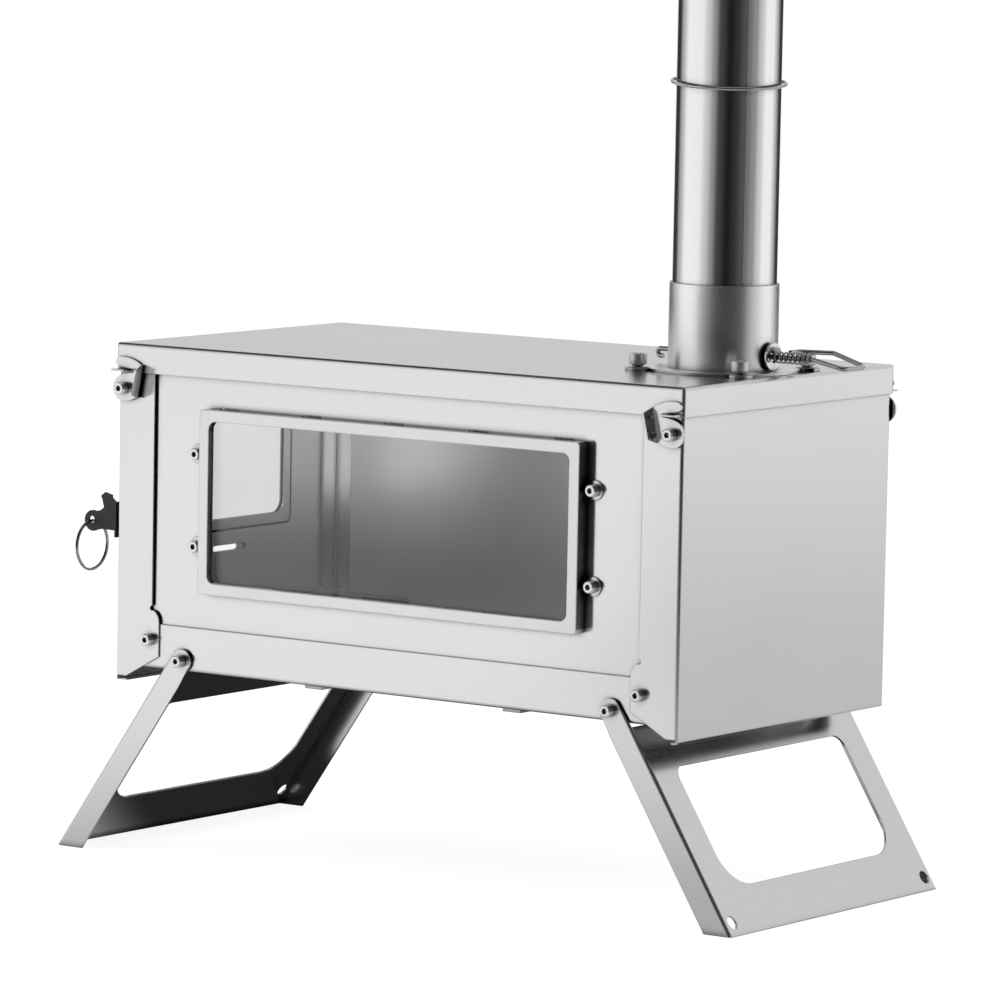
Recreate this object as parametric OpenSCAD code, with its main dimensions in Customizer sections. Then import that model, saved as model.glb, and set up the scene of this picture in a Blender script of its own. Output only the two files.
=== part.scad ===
// Tent wood stove: a folding steel firebox on two folding leg frames.
// Millimetres. Z is up from the ground, the glass front faces -Y,
// the loading door is on the -X end and the flue stands near the +X end.

/* [Firebox] */
// length of the lid, left to right
lid_length = 400.6; // [398:0.2:403]
// depth of the lid, front to rear
lid_depth = 219; // [217:0.5:221]
// height of the lid top above the ground
lid_height = 303; // [302:0.5:306]
// depth of the flange round the lid
lid_flange = 17; // [16:0.5:18]
// thickness of the box sheets
sheet = 1; // [0.9:0.05:1.1]
// outer radius of the folded edges
bend = 2; // [1.8:0.1:2.3]
// play between lid flange and end plate
end_play = 0.2; // [0.1:0.05:0.3]
// play between lid flange and the front flanges
lid_play = 0.4; // [0.3:0.05:0.5]
// play between the top of the end plates and the fold of the lid
top_play = 0.05; // [0.02:0.01:0.1]
// height of the tray underside above the ground
tray_under = 112.5; // [112:0.1:112.8]
// height of the tray sides
tray_side = 26.2; // [25.8:0.1:26.6]
// width of the front and rear panels
panel_width = 372; // [368:1:374]
// height of the panel foot above the tray underside
panel_foot_rise = 2; // [2:0.1:2.6]
// half width of the part of a panel that stands in the tray
panel_foot_half = 140; // [136:1:142]

/* [End panels] */
// width of the upright flange
flange_width = 26.6; // [26:0.2:27.2]
// extra width of the flange foot
foot_extra = 5.2; // [5:0.1:5.4]
// height of the flange shoulder above the tray underside
shoulder_rise = 27.5; // [27:0.1:28]
// radius of the flange shoulder
shoulder_radius = 7.2; // [7:0.1:7.4]
// radius of the relief notch over the shoulder
relief_radius = 1.5; // [1.3:0.1:1.6]
// distance from tray underside down to the end plate edge
plate_drop = 9.4; // [9:0.1:9.6]
// width of the lip folded inwards along the lower edge
plate_lip = 6; // [5.5:0.5:6.5]
// rise of the flange foot over the tray underside
foot_rise = 7; // [6.8:0.1:7.2]
// width of the sloped flange foot
slope_width = 24.1; // [23.6:0.1:24.6]
// depth that the slope falls
slope_drop = 13.3; // [13:0.1:13.6]

/* [Pivots] */
// distance of the panel pivots from the middle
panel_pivot_x = 173.85; // [173.6:0.05:174.3]
// height of the panel pivots over the tray underside
panel_pivot_rise = 16.85; // [16.7:0.05:17.5]
// distance of the right leg pivots from the middle
leg_pivot_right = 154.4; // [153.8:0.1:154.8]
// distance of the left leg pivots from the middle
leg_pivot_left = 149.6; // [149:0.1:150.2]
// height of the leg pivots over the tray underside
leg_pivot_rise = 6.4; // [6.3:0.05:6.45]
// distance of the latch pivots from the end plate face
latch_pivot_in = 5.75; // [5.7:0.05:6]
// distance of the latch pivots under the lid top
latch_pivot_drop = 26.45; // [26.3:0.05:26.6]

/* [Screws] */
// radius of the threaded shanks
shank_radius = 2; // [1.9:0.05:2.1]
// radius of the screw heads
head_radius = 3.5; // [3.4:0.05:3.6]
// length of the collar under a head
collar_length = 1.8; // [1.7:0.1:2]
// width of the groove under a head
groove_width = 0.5; // [0.4:0.05:0.6]
// depth of the groove under a head
groove_depth = 0.6; // [0.5:0.05:0.7]
// height of the heads
head_height = 2.8; // [2.7:0.1:3]
// chamfer of the heads
head_chamfer = 0.5; // [0.4:0.05:0.6]
// radius over the corners of the hex socket
socket_radius = 1.75; // [1.6:0.05:1.9]
// depth of the hex socket
socket_depth = 1.8; // [1.6:0.1:2]
// radius over the corners of the nuts
nut_radius = 4.04; // [3.9:0.02:4.2]
// height of the nuts
nut_height = 3.2; // [3:0.1:3.4]
// length of shank past a nut
shank_past = 0.6; // [0.4:0.1:0.8]
// air between a turning sheet and its neighbours
side_air = 0.3; // [0.3:0.02:0.36]
// radial play of a pivot hole
pivot_play = 0.06; // [0.04:0.01:0.08]

/* [Legs] */
// tilt of the right leg from upright
right_leg_tilt = 32.2; // [31.8:0.1:32.6]
// tilt of the left leg from upright
left_leg_tilt = 34.65; // [34.25:0.1:35.05]
// thickness of the leg sheet
leg_sheet = 1.2; // [1.15:0.01:1.25]
// distance between tray side and leg strip
leg_gap = 0.9; // [0.85:0.05:1]
// width of the strip on the inner side of the pivot
strip_inner = 7.5; // [7.3:0.1:7.7]
// width of the strip on the outer side of the pivot
strip_outer = 7.9; // [7.9:0.05:8]
// radius of the strip round its pivot
strip_end = 6.8; // [6.6:0.1:7]
// distance from pivot to the top edge of the leg plate
leg_plate_start = 14.5; // [14.4:0.1:15]
// start of the leg window below the pivot
leg_window_top = 42; // [41:0.5:43]
// end of the leg window below the pivot
leg_window_end = 117.5; // [117:0.5:118]
// half width of the leg window
leg_window_half = 86.5; // [86.4:0.1:87.5]
// radius of the upper corners of the leg window
leg_window_radius = 8; // [7:0.5:9]
// radius of the lower corners of the leg window
leg_window_low_radius = 21; // [19:0.5:22]
// distance of the peg holes below the pivot
peg_hole_down = 137; // [136.6:0.1:137.4]
// distance of the peg holes from the middle
peg_hole_side = 101.5; // [101:0.1:101.8]
// radius of the peg holes
peg_hole_radius = 4; // [3.8:0.1:4.2]

/* [Under rails] */
// distance of the rails from the middle
rail_x = 70.5; // [70:0.5:71]
// width of a rail
rail_width = 12.4; // [12:0.1:12.8]
// half length of a rail
rail_half = 85; // [84.6:0.1:85.2]
// depth of a rail
rail_depth = 5.2; // [5:0.1:5.4]

/* [Window] */
// width of the window frame
frame_width = 268.2; // [267.4:0.2:268.6]
// distance of the frame top under the lid top
frame_drop = 34.7; // [34.4:0.1:35]
// height of the frame foot above the tray underside
frame_rise = 47.6; // [47:0.1:48]
// depth of the frame from the panel
frame_depth = 8.4; // [8.2:0.1:8.6]
// width of the frame face
frame_face = 6.8; // [6.6:0.1:7]
// thickness of the frame sheet
frame_sheet = 0.9; // [0.85:0.05:0.95]
// outer corner radius of the frame
frame_corner = 2.6; // [2.4:0.1:2.8]
// corner radius of the frame opening
opening_corner = 4.6; // [4.4:0.1:4.8]
// thickness of the window glass
glass = 3; // [2.9:0.05:3.1]
// thickness of the gasket
gasket = 0.6; // [0.5:0.05:0.7]
// play of the glass inside the frame
glass_play = 0.8; // [0.7:0.05:0.9]
// step of the panel opening behind the frame opening
sight_step = 3; // [2.8:0.1:3.1]
// length of a frame tab
tab_length = 12.3; // [12:0.1:12.6]
// distance of the outermost tabs from the frame edge
tab_end_in = 9.75; // [9.5:0.05:10]
// length of the frame tabs behind the frame
tab_reach = 3.6; // [3.4:0.1:3.8]
// play of a tab slot
slot_play = 0.9; // [0.8:0.05:1]
// distance of the frame screws from the frame edge
frame_screw_out = 5.7; // [5.7:0.05:6]
// distance between the frame screws
frame_screw_pitch = 54.2; // [53.8:0.1:54.6]
// radius of the frame screw washers
big_washer_radius = 5.5; // [5.3:0.05:5.5]
// thickness of the frame screw washers
big_washer = 1; // [0.9:0.05:1.1]

/* [Lid latches] */
// width of a lid tab
lid_tab_width = 9; // [8.8:0.1:9.2]
// reach of a lid tab past the lid
lid_tab_reach = 7.5; // [7.3:0.1:7.7]
// distance from lid side to the tab
lid_tab_in = 2; // [1.9:0.05:2.1]
// height of the tab over the flange edge
lid_tab_rise = 0.8; // [0.7:0.05:0.9]
// thickness of the hook sheet
hook_sheet = 1.2; // [1.1:0.05:1.3]
// length of the spacer behind a hook
hook_spacer = 1.4; // [1.3:0.05:1.5]
// size of a hook from pivot to top corner
hook_size = 18.3; // [18.2:0.05:18.4]
// length of the folded lip
lip_length = 8.5; // [8.3:0.1:8.7]
// fold of the lip
lip_fold = 77; // [75:1:79]

/* [Flue] */
// distance of the flue from the middle
flue_x = 153; // [152.6:0.1:153.4]
// outer radius of the chimney pipe
pipe_radius = 30; // [29.9:0.05:30.1]
// wall of the chimney pipe
pipe_wall = 0.8; // [0.7:0.05:0.9]
// height of the top of the pipe section
pipe_top = 560; // [540:5:600]
// height from lid to the foot of the pipe
pipe_rise = 15.3; // [15.2:0.1:15.6]
// height of the lap over the collar rim
lap_rise = 2; // [1.5:0.5:3]
// thickness of the lap
lap_wall = 0.4; // [0.3:0.05:0.5]
// radial air between pipe and collar
collar_air = 0.3; // [0.3:0.02:0.36]
// wall of the collar
collar_wall = 1.1; // [1:0.05:1.2]
// height of the collar over the lid
collar_height = 50.1; // [49:0.1:51]
// height of the ledge inside the collar
ledge_height = 2.4; // [2.2:0.1:2.6]
// width of the ledge inside the collar
ledge_width = 1; // [0.9:0.05:1.1]
// radius of the collar base
base_radius = 44; // [43.5:0.1:44.5]
// thickness of the collar base
base_sheet = 1.6; // [1.5:0.05:1.7]
// distance of the studs from the flue axis along each side
stud_side = 34.7; // [34.5:0.1:34.9]
// radius of the lobe round a stud
lobe_radius = 7.4; // [7.2:0.1:7.6]
// width of the slot in a lobe
lobe_slot = 5.2; // [5:0.1:5.4]
// radius of the thumb nuts
thumb_radius = 5.5; // [5.3:0.1:5.7]
// height of the thumb nut heads
thumb_height = 6.2; // [6:0.1:6.4]
// radius of the thumb nut necks
thumb_neck_radius = 3.6; // [3.4:0.1:3.8]
// height of the thumb nut necks
thumb_neck = 0.9; // [0.8:0.05:1]
// radius of the thin washers
thin_washer_radius = 6.2; // [6:0.1:6.4]
// thickness of the thin washers
thin_washer = 0.5; // [0.45:0.05:0.55]
// radius of the hoop round the pipe
hoop_radius = 32.3; // [32.2:0.1:32.6]
// radius of the hoop wire
hoop_wire = 1; // [0.9:0.05:1.1]
// distance of the hoop under the top of the pipe section
hoop_drop = 93.2; // [80:0.2:100]

/* [Damper] */
// height of the damper rod over the lid
rod_rise = 9.8; // [9.7:0.05:9.9]
// radius of the damper rod
rod_radius = 1.4; // [1.35:0.05:1.45]
// radius of the damper disc
disc_radius = 28.2; // [28:0.1:28.4]
// thickness of the damper disc
disc_sheet = 1; // [0.9:0.05:1.1]
// wall of the loops under the disc
loop_wall = 1; // [0.9:0.05:1.1]
// length of the loops under the disc
loop_length = 9; // [8:0.5:10]
// distance between the loops under the disc
loop_gap = 30; // [28:1:32]
// distance from the flue axis to the far tip
far_tip = 43.4; // [43:0.1:44]
// height of the far tip
far_hook = 5.5; // [5.3:0.1:5.7]
// distance from the flue axis to the spring end
spring_end = 60; // [59.5:0.1:60.5]
// distance from the flue axis to the handle bar
handle_reach = 81.4; // [81:0.1:82]
// drop of the handle bar
handle_drop = 4.2; // [4:0.1:4.4]
// length over which the rod drops to the handle bar
handle_bend = 20.9; // [20.5:0.1:21.3]
// width of the handle
handle_width = 23; // [22.5:0.1:23.5]
// rise of the returning handle leg
return_rise = 2.4; // [2.2:0.1:2.6]
// distance from the flue axis to the handle tip
return_reach = 40.6; // [40.2:0.1:41]
// distance of the handle tip from the rod axis
tip_side = 7.6; // [7.4:0.1:7.8]
// radius of the cup washer
cup_radius = 8; // [7.8:0.1:8.2]
// thickness of the cup washer
cup_sheet = 1.2; // [1.1:0.05:1.3]
// radius of the cup washer hub
cup_hub = 3.4; // [3.2:0.1:3.6]
// length of the cup washer hub
cup_hub_length = 1.6; // [1.5:0.05:1.7]
// coils of the spring
coils = 8; // [7:9]
// radius of the spring wire
spring_wire = 0.55; // [0.5:0.05:0.6]
// radius of the spring at the wire centre
spring_radius = 3; // [2.9:0.05:3.1]

/* [Door] */
// depth of the folded door
door_depth = 3.5; // [3.4:0.1:3.6]
// air between door and end plate
door_air = 0.5; // [0.45:0.05:0.6]
// rear edge of the door
door_rear = 66; // [65.5:0.1:66.5]
// front edge of the door
door_front = 98; // [97.5:0.1:98.5]
// distance of the door top under the lid top
door_drop = 31.5; // [31:0.1:32]
// height of the door foot above the tray underside
door_rise = 69; // [68.8:0.1:69.4]
// corner radius of the door
door_corner = 4; // [3.6:0.1:4.4]
// half width of the door window
sight_half = 53.4; // [53:0.1:53.8]
// distance from the door top to its window
sight_drop = 9; // [8.8:0.1:9.2]
// height from door foot to its window
sight_rise = 9; // [8.8:0.1:9.2]
// corner radius of the door window
sight_corner = 7.5; // [7:0.1:8]
// overlap of the door glass
glass_overlap = 3.2; // [3:0.1:3.4]
// overlap of the retaining ring
ring_overlap = 6; // [5.9:0.1:6.2]
// corner radius of the retaining ring
ring_corner = 3; // [2.8:0.1:3.2]
// distance of the small screws from the ring edges
ring_screw_in = 2.6; // [2.5:0.1:2.8]
// air round the retaining ring
ring_air = 1.3; // [1.1:0.1:1.4]
// radius of the small door screws
small_radius = 1.2; // [1.1:0.05:1.3]
// radius of the small screw heads
small_head = 2.4; // [2.3:0.05:2.5]
// height of the small screw heads
small_height = 1.4; // [1.3:0.05:1.5]
// distance of the hinge axis outside the end plate
hinge_out = 5.9; // [5.7:0.1:6.1]
// distance of the hinge axis behind the door
hinge_back = 4; // [3.9:0.1:4.1]
// radius of the hinge pins
pin_radius = 1.5; // [1.4:0.05:1.6]
// thickness of the hinge lugs
lug_sheet = 1.5; // [1.4:0.05:1.6]
// radius of the hinge lugs
lug_radius = 3.2; // [3.1:0.1:3.4]
// distance from the door edges to the hinge lugs
lug_inset = 14; // [13:0.5:15]

/* [Latch lever] */
// distance of the lever from the middle plane
lever_side = 90; // [89.8:0.1:90.2]
// thickness of the lever
lever_sheet = 1.2; // [1.1:0.05:1.3]
// height of the lever pivot above the door foot
lever_rise = 18.5; // [18.3:0.1:18.7]
// distance of the lever pivot from the door face
lever_out = 5.4; // [5.2:0.1:5.6]
// reach of the lever from its pivot
lever_reach = 29.6; // [29.4:0.1:29.8]
// radius of the ring hole
ring_hole = 2.1; // [2:0.05:2.2]
// outer radius of the split ring
ring_radius = 15.35; // [15.2:0.05:15.5]
// radial size of the ring wire
ring_wire = 1.5; // [1.4:0.05:1.6]
// thickness of one ring turn
ring_turn = 0.9; // [0.85:0.05:0.95]

/* [Air slide] */
// height of the air slot above the tray underside
air_rise = 60.5; // [60.3:0.1:60.6]
// height of the air slot
air_height = 3.5; // [3.3:0.1:3.7]
// half length of the air slot
air_half = 16; // [15.5:0.5:16.5]
// distance that the slide is closed as drawn
air_closed = 7; // [6.5:0.5:7.5]
// height of the slide plate
slide_height = 12.4; // [12.2:0.1:12.6]
// half length of the slide plate
slide_half = 38; // [37:0.5:39]
// half length of the guides
guide_half = 60; // [59:0.5:61]
// thickness of a guide rim
guide_rim = 1.4; // [1.3:0.05:1.45]
// overlap of the guides on the slide
guide_overlap = 2; // [1.9:0.1:2.1]
// radius of the slide knob
knob_radius = 3.6; // [3.4:0.1:3.8]
// length of the slide knob
knob_length = 7; // [6.8:0.1:7.2]

/* [Grate] */
// height of the grate
grate_height = 11; // [10.5:0.5:11.5]
// half length of the grate
grate_half_length = 180; // [175:1:182]
// half depth of the grate
grate_half_depth = 92; // [90:1:93]
// width of a grate slot
grate_slot = 8; // [7.5:0.5:8.5]
// slots in the grate
grate_slots = 12; // [10:13]

/* [Hidden] */
$fn = 48;
// overrun of every cut past the surface it opens
past = 5;
right_angle = 90;
full_turn = 360;
inner_bend = bend - sheet;

lid_x = lid_length / 2;
lid_y = lid_depth / 2;
under_lid = lid_height - sheet;
plate_x = lid_x - sheet - end_play;
plate_in_x = plate_x - sheet;
// the end plates end where the fold of the lid comes down to their outer face
plate_top = lid_height - bend + sqrt(pow(inner_bend, 2) - pow(inner_bend - end_play, 2)) - top_play;
flange_y = lid_y - sheet - lid_play;
tray_y = flange_y - sheet;
panel_y = tray_y - sheet;
panel_in_y = panel_y - sheet;
tray_floor = tray_under + sheet;
tray_top = tray_under + tray_side;
plate_foot = tray_under - plate_drop;

panel_pivot_z = tray_under + panel_pivot_rise;
leg_pivot_z = tray_under + leg_pivot_rise;
latch_pivot_x = plate_x - latch_pivot_in;
latch_pivot_z = lid_height - latch_pivot_drop;
hole_radius = shank_radius + pivot_play;

leg_inner_y = tray_y + leg_gap;
leg_outer_y = leg_inner_y + leg_sheet;
leg_seat_y = leg_outer_y + side_air;
leg_length = 2 * leg_pivot_z;

frame_x = frame_width / 2;
frame_foot = tray_under + frame_rise;
frame_height = lid_height - frame_drop - frame_foot;
frame_middle = frame_foot + frame_height / 2;
frame_face_y = panel_y + frame_depth;
sight_x = frame_width - 2 * frame_face;
sight_z = frame_height - 2 * frame_face;
glass_back_y = panel_y + gasket;
glass_face_y = glass_back_y + glass;
window_screw_x = frame_x + frame_screw_out;
tab_pitch = (frame_x - tab_end_in - tab_length / 2) / 2;

lid_tab_middle = lid_x - lid_tab_in - lid_tab_width / 2;
lid_tab_z = lid_height - lid_flange + lid_tab_rise;
hook_back_y = flange_y + hook_spacer + side_air;
hook_face_y = hook_back_y + hook_sheet;
hook_seat_y = hook_face_y + side_air;

collar_in = pipe_radius + collar_air;
collar_out = collar_in + collar_wall;
collar_rim = lid_height + collar_height;
pipe_foot = lid_height + pipe_rise;
rod_z = lid_height + rod_rise;
washer_top = lid_height + base_sheet + thin_washer;
thumb_foot = washer_top + side_air;
stud_top = thumb_foot + thumb_neck + thumb_height / 2;

door_face = plate_x + door_air + door_depth;
door_foot = tray_under + door_rise;
door_height = lid_height - door_drop - door_foot;
sight_height = door_height - sight_rise - sight_drop;
door_middle = (door_rear - door_front) / 2;
door_width = door_rear + door_front;
sight_middle_z = door_foot + sight_rise + sight_height / 2;
hinge_x = plate_x + hinge_out;
hinge_y = door_rear + hinge_back;
glass_half = sight_half + glass_overlap;
glass_tall = sight_height + 2 * glass_overlap;
ring_half = sight_half + ring_overlap;
ring_tall = sight_height + 2 * ring_overlap;
mouth_half = ring_half + ring_air;
mouth_tall = ring_tall + 2 * ring_air;
mouth_corner = ring_corner + ring_air;

lever_x = door_face + lever_out;
lever_z = door_foot + lever_rise;
air_z = tray_under + air_rise;
slide_x = plate_x + side_air;
nose_share = 0.257;
nose_top_share = 0.101;
lobe_shares = [-0.79, -0.216];
lobe_radius_share = 0.21;
hole_shares = [-0.818, -0.193];
hole_x = lever_x - hole_shares[0] * lever_reach;
hole_z = lever_z + hole_shares[1] * lever_reach;
lever_gap = lever_sheet / 2 + side_air;
ear_gap = 2 * lug_sheet + lever_gap;

steel = [0.80, 0.80, 0.80];
bright = [0.88, 0.88, 0.88];
dull = [0.62, 0.62, 0.63];
dark = [0.13, 0.13, 0.14];
pane = [0.75, 0.78, 0.80, 0.45];
felt = [0.30, 0.30, 0.30];

module both_x() {
    children();
    mirror([1, 0, 0]) children();
}

module both_y() {
    children();
    mirror([0, 1, 0]) children();
}

// rectangle about the origin with round corners
module rounded(width, height, radius) {
    square([width, height - 2 * radius], center = true);
    square([width - 2 * radius, height], center = true);
    for (x = [-1, 1], y = [-1, 1])
        translate([x * (width / 2 - radius), y * (height / 2 - radius)]) circle(radius);
}

// folded tray shape: open above at the top height, all edges below and round it rounded
module tray_shape(half_x, half_y, foot, top, radius) {
    tall = top - foot;
    intersection() {
        translate([0, 0, foot]) linear_extrude(tall) rounded(2 * half_x, 2 * half_y, radius);
        translate([0, half_y, foot + tall])
            rotate([right_angle, 0, 0])
                linear_extrude(2 * half_y) rounded(2 * half_x, 2 * tall, radius);
        translate([-half_x, 0, foot + tall])
            rotate([right_angle, 0, right_angle])
                linear_extrude(2 * half_x) rounded(2 * half_y, 2 * tall, radius);
    }
}

// outline in the XZ plane, pushed out from the middle plane towards the front
module facing(from_y, to_y) {
    translate([0, -from_y, 0]) rotate([right_angle, 0, 0]) linear_extrude(to_y - from_y) children();
}

// outline of Y across and Z up, pushed out along X
module siding(from_x, to_x) {
    translate([from_x, 0, 0])
        rotate([right_angle, 0, right_angle]) linear_extrude(to_x - from_x) children();
}

// turned screw along the front direction, its collar seated at the given depth
module turned_screw(seat, root) {
    groove = seat + collar_length;
    crown = groove + groove_width + head_height;
    rotate([right_angle, 0, 0]) difference() {
        rotate_extrude() polygon([
            [0, root], [shank_radius, root], [shank_radius, seat], [head_radius, seat],
            [head_radius, groove], [head_radius - groove_depth, groove],
            [head_radius - groove_depth, groove + groove_width],
            [head_radius, groove + groove_width], [head_radius, crown - head_chamfer],
            [head_radius - head_chamfer, crown], [0, crown]]);
        translate([0, 0, crown - socket_depth]) cylinder(h = past, r = socket_radius, $fn = 6);
    }
}

// nut whose outer face is at the given depth
module hex_nut(seat) {
    rotate([right_angle, 0, 0]) translate([0, 0, seat - nut_height]) linear_extrude(nut_height)
        difference() {
            circle(nut_radius, $fn = 6);
            circle(shank_radius);
        }
}

// washer or spacer between two depths
module spacer(from_y, to_y, radius) {
    rotate([right_angle, 0, 0]) translate([0, 0, from_y]) linear_extrude(to_y - from_y)
        difference() {
            circle(radius);
            circle(shank_radius);
        }
}

module at_panel_pivots() {
    both_y() both_x() translate([panel_pivot_x, 0, panel_pivot_z]) children();
}

module at_leg_pivots() {
    both_y() {
        translate([leg_pivot_right, 0, leg_pivot_z]) children();
        translate([-leg_pivot_left, 0, leg_pivot_z]) children();
    }
}

module at_latch_pivots() {
    both_y() both_x() translate([latch_pivot_x, 0, latch_pivot_z]) children();
}

module at_window_screws() {
    both_x() for (side = [-1, 1])
        translate([window_screw_x, 0, frame_middle + side * frame_screw_pitch / 2]) children();
}

// round holes for the shanks, cut through everything at the depth of the folds
module shank_hole() {
    rotate([right_angle, 0, 0]) cylinder(h = 2 * lid_y, r = shank_radius);
}

module bottom_tray() {
    color(steel) difference() {
        tray_shape(plate_in_x, tray_y, tray_under, tray_top, bend);
        translate([0, 0, sheet])
            tray_shape(plate_in_x - sheet, panel_y, tray_under, tray_top + past, inner_bend);
        at_panel_pivots() shank_hole();
        at_leg_pivots() shank_hole();
    }
}

module under_rails() {
    color(dull) both_x() translate([rail_x, 0, tray_under - rail_depth]) difference() {
        translate([0, 0, rail_depth / 2])
            cube([rail_width, 2 * rail_half, rail_depth], center = true);
        translate([0, 0, sheet + rail_depth])
            cube([rail_width - 2 * sheet, 2 * (rail_half - sheet), 2 * rail_depth], center = true);
    }
}

// front view of the end flange and its plate edge, on the right side
module flange_outline() {
    inner = plate_x - flange_width;
    foot_in = inner - foot_extra;
    shoulder = tray_under + shoulder_rise;
    foot = tray_under + foot_rise;
    knee = foot - slope_drop;
    difference() {
        union() {
            polygon([
                [inner, plate_top], [inner, shoulder], [foot_in, shoulder], [foot_in, foot],
                [foot_in + slope_width, knee], [plate_in_x, knee], [plate_in_x, plate_foot],
                [plate_x, plate_foot], [plate_x, plate_top]]);
            translate([foot_in + shoulder_radius, shoulder]) circle(shoulder_radius);
        }
        translate([inner, shoulder + shoulder_radius + relief_radius / 2]) circle(relief_radius);
    }
}

// end panel on the right side: a plate with a front and a rear flange and a lip below
module end_channel() {
    lip_y = tray_y - bend;
    difference() {
        intersection() {
            difference() {
                tray_shape(plate_x, flange_y, plate_foot, plate_top, bend);
                translate([0, 0, sheet])
                    tray_shape(plate_in_x, tray_y, plate_foot, plate_top + past, inner_bend);
            }
            union() {
                facing(-lid_y, lid_y) flange_outline();
                facing(-lip_y, lip_y) translate([plate_x - plate_lip, plate_foot - past])
                    square([plate_lip + past, past + 2 * bend]);
            }
        }
        at_panel_pivots() shank_hole();
        at_latch_pivots() shank_hole();
    }
}

module right_end_panel() {
    color(steel) end_channel();
}

module door_end_panel() {
    color(steel) difference() {
        mirror([1, 0, 0]) end_channel();
        siding(-plate_x - past, -plate_in_x + past) {
            translate([0, sight_middle_z]) rounded(2 * mouth_half, mouth_tall, mouth_corner);
            translate([0, air_z]) rounded(2 * air_half, air_height, air_height / 3);
        }
    }
}

// front or rear panel with its lower corners cut back from the screws in the tray
module panel_outline() {
    foot = tray_under + panel_foot_rise + sheet;
    translate([-panel_width / 2, tray_top - sheet])
        square([panel_width, under_lid - tray_top + sheet]);
    translate([-panel_foot_half, foot]) square([2 * panel_foot_half, tray_top - foot]);
}

module front_panel() {
    color(steel) difference() {
        facing(panel_in_y, panel_y) panel_outline();
        facing(0, lid_y) {
            translate([0, frame_middle])
                rounded(sight_x + 2 * sight_step, sight_z + 2 * sight_step,
                    opening_corner + sight_step);
            for (step = [-2:2])
                translate([step * tab_pitch, frame_foot + frame_height - frame_sheet / 2])
                    square([tab_length + slot_play, frame_sheet + slot_play], center = true);
        }
        at_window_screws() shank_hole();
    }
}

module rear_panel() {
    color(steel) mirror([0, 1, 0]) facing(panel_in_y, panel_y) panel_outline();
}

module lid() {
    flange_z = lid_height - lid_flange;
    color(steel) difference() {
        union() {
            difference() {
                translate([0, 0, 2 * lid_height]) mirror([0, 0, 1])
                    tray_shape(lid_x, lid_y, lid_height, lid_height + lid_flange, bend);
                translate([0, 0, 2 * lid_height - sheet]) mirror([0, 0, 1])
                    tray_shape(lid_x - sheet, lid_y - sheet, lid_height,
                        lid_height + lid_flange + past, inner_bend);
                both_y() both_x() translate([lid_tab_middle, -lid_y, flange_z])
                    cube([lid_tab_width + sheet, 2 * bend, 2 * lid_tab_rise], center = true);
            }
            both_y() both_x()
                translate([lid_tab_middle, (sheet - lid_tab_reach) / 2 - lid_y, lid_tab_z + sheet / 2])
                    cube([lid_tab_width, lid_tab_reach + sheet, sheet], center = true);
        }
        translate([flue_x, 0, under_lid - past]) cylinder(h = 2 * past, r = collar_in);
        at_studs() translate([0, 0, under_lid - past]) cylinder(h = 2 * past, r = shank_radius);
    }
}

module fire_grate() {
    pitch = 2 * (grate_half_length - grate_slot) / grate_slots;
    top = tray_floor + grate_height;
    color(dull) difference() {
        siding(-grate_half_length, grate_half_length) difference() {
            translate([-grate_half_depth, tray_floor]) square([2 * grate_half_depth, grate_height]);
            translate([-grate_half_depth + sheet, tray_floor - sheet])
                square([2 * (grate_half_depth - sheet), grate_height]);
        }
        for (slot = [0:grate_slots - 1])
            translate([(slot - (grate_slots - 1) / 2) * pitch, 0, top - past])
                linear_extrude(2 * past)
                    rounded(grate_slot, 2 * (grate_half_depth - 2 * grate_slot), grate_slot / 3);
    }
}

// picture frame of channel section with the open side towards the panel
module window_frame() {
    color(steel) {
        translate([0, 0, frame_middle]) {
            facing(frame_face_y - frame_sheet, frame_face_y) difference() {
                rounded(frame_width, frame_height, frame_corner);
                rounded(sight_x, sight_z, opening_corner);
            }
            facing(panel_y, frame_face_y - frame_sheet) difference() {
                rounded(frame_width, frame_height, frame_corner);
                rounded(frame_width - 2 * frame_sheet, frame_height - 2 * frame_sheet,
                    frame_corner - frame_sheet);
            }
            facing(glass_face_y, frame_face_y - frame_sheet) difference() {
                rounded(sight_x + 2 * frame_sheet, sight_z + 2 * frame_sheet,
                    opening_corner + frame_sheet);
                rounded(sight_x, sight_z, opening_corner);
            }
        }
        for (step = [-2:2]) facing(panel_y - tab_reach, panel_y + sheet)
            translate([step * tab_pitch, frame_foot + frame_height - frame_sheet / 2])
                square([tab_length, frame_sheet], center = true);
    }
}

module window_glass() {
    color(pane) translate([0, 0, frame_middle]) facing(glass_back_y, glass_face_y)
        rounded(frame_width - 2 * frame_sheet - 2 * glass_play,
            frame_height - 2 * frame_sheet - 2 * glass_play, frame_corner);
}

module window_gasket() {
    color(felt) translate([0, 0, frame_middle]) facing(panel_y, glass_back_y) difference() {
        rounded(frame_width - 2 * frame_sheet - 2 * glass_play,
            frame_height - 2 * frame_sheet - 2 * glass_play, frame_corner);
        rounded(sight_x + 2 * sight_step, sight_z + 2 * sight_step, opening_corner + sight_step);
    }
}

module window_screws() {
    color(bright) at_window_screws()
        turned_screw(panel_y + big_washer, panel_in_y - nut_height - shank_past);
}

module window_washers() {
    color(bright) at_window_screws() spacer(panel_y, panel_y + big_washer, big_washer_radius);
}

module panel_pivot_screws() {
    color(bright) at_panel_pivots() turned_screw(flange_y, panel_y - nut_height - shank_past);
}

module leg_pivot_screws() {
    color(bright) at_leg_pivots() turned_screw(leg_seat_y, panel_y - nut_height - shank_past);
}

module leg_spacers() {
    color(bright) at_leg_pivots() spacer(tray_y, leg_inner_y - side_air, head_radius);
}

module latch_pivot_screws() {
    color(bright) at_latch_pivots() turned_screw(hook_seat_y, tray_y - nut_height - shank_past);
}

module latch_spacers() {
    color(bright) at_latch_pivots() spacer(flange_y, hook_back_y - side_air, head_radius);
}

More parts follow.
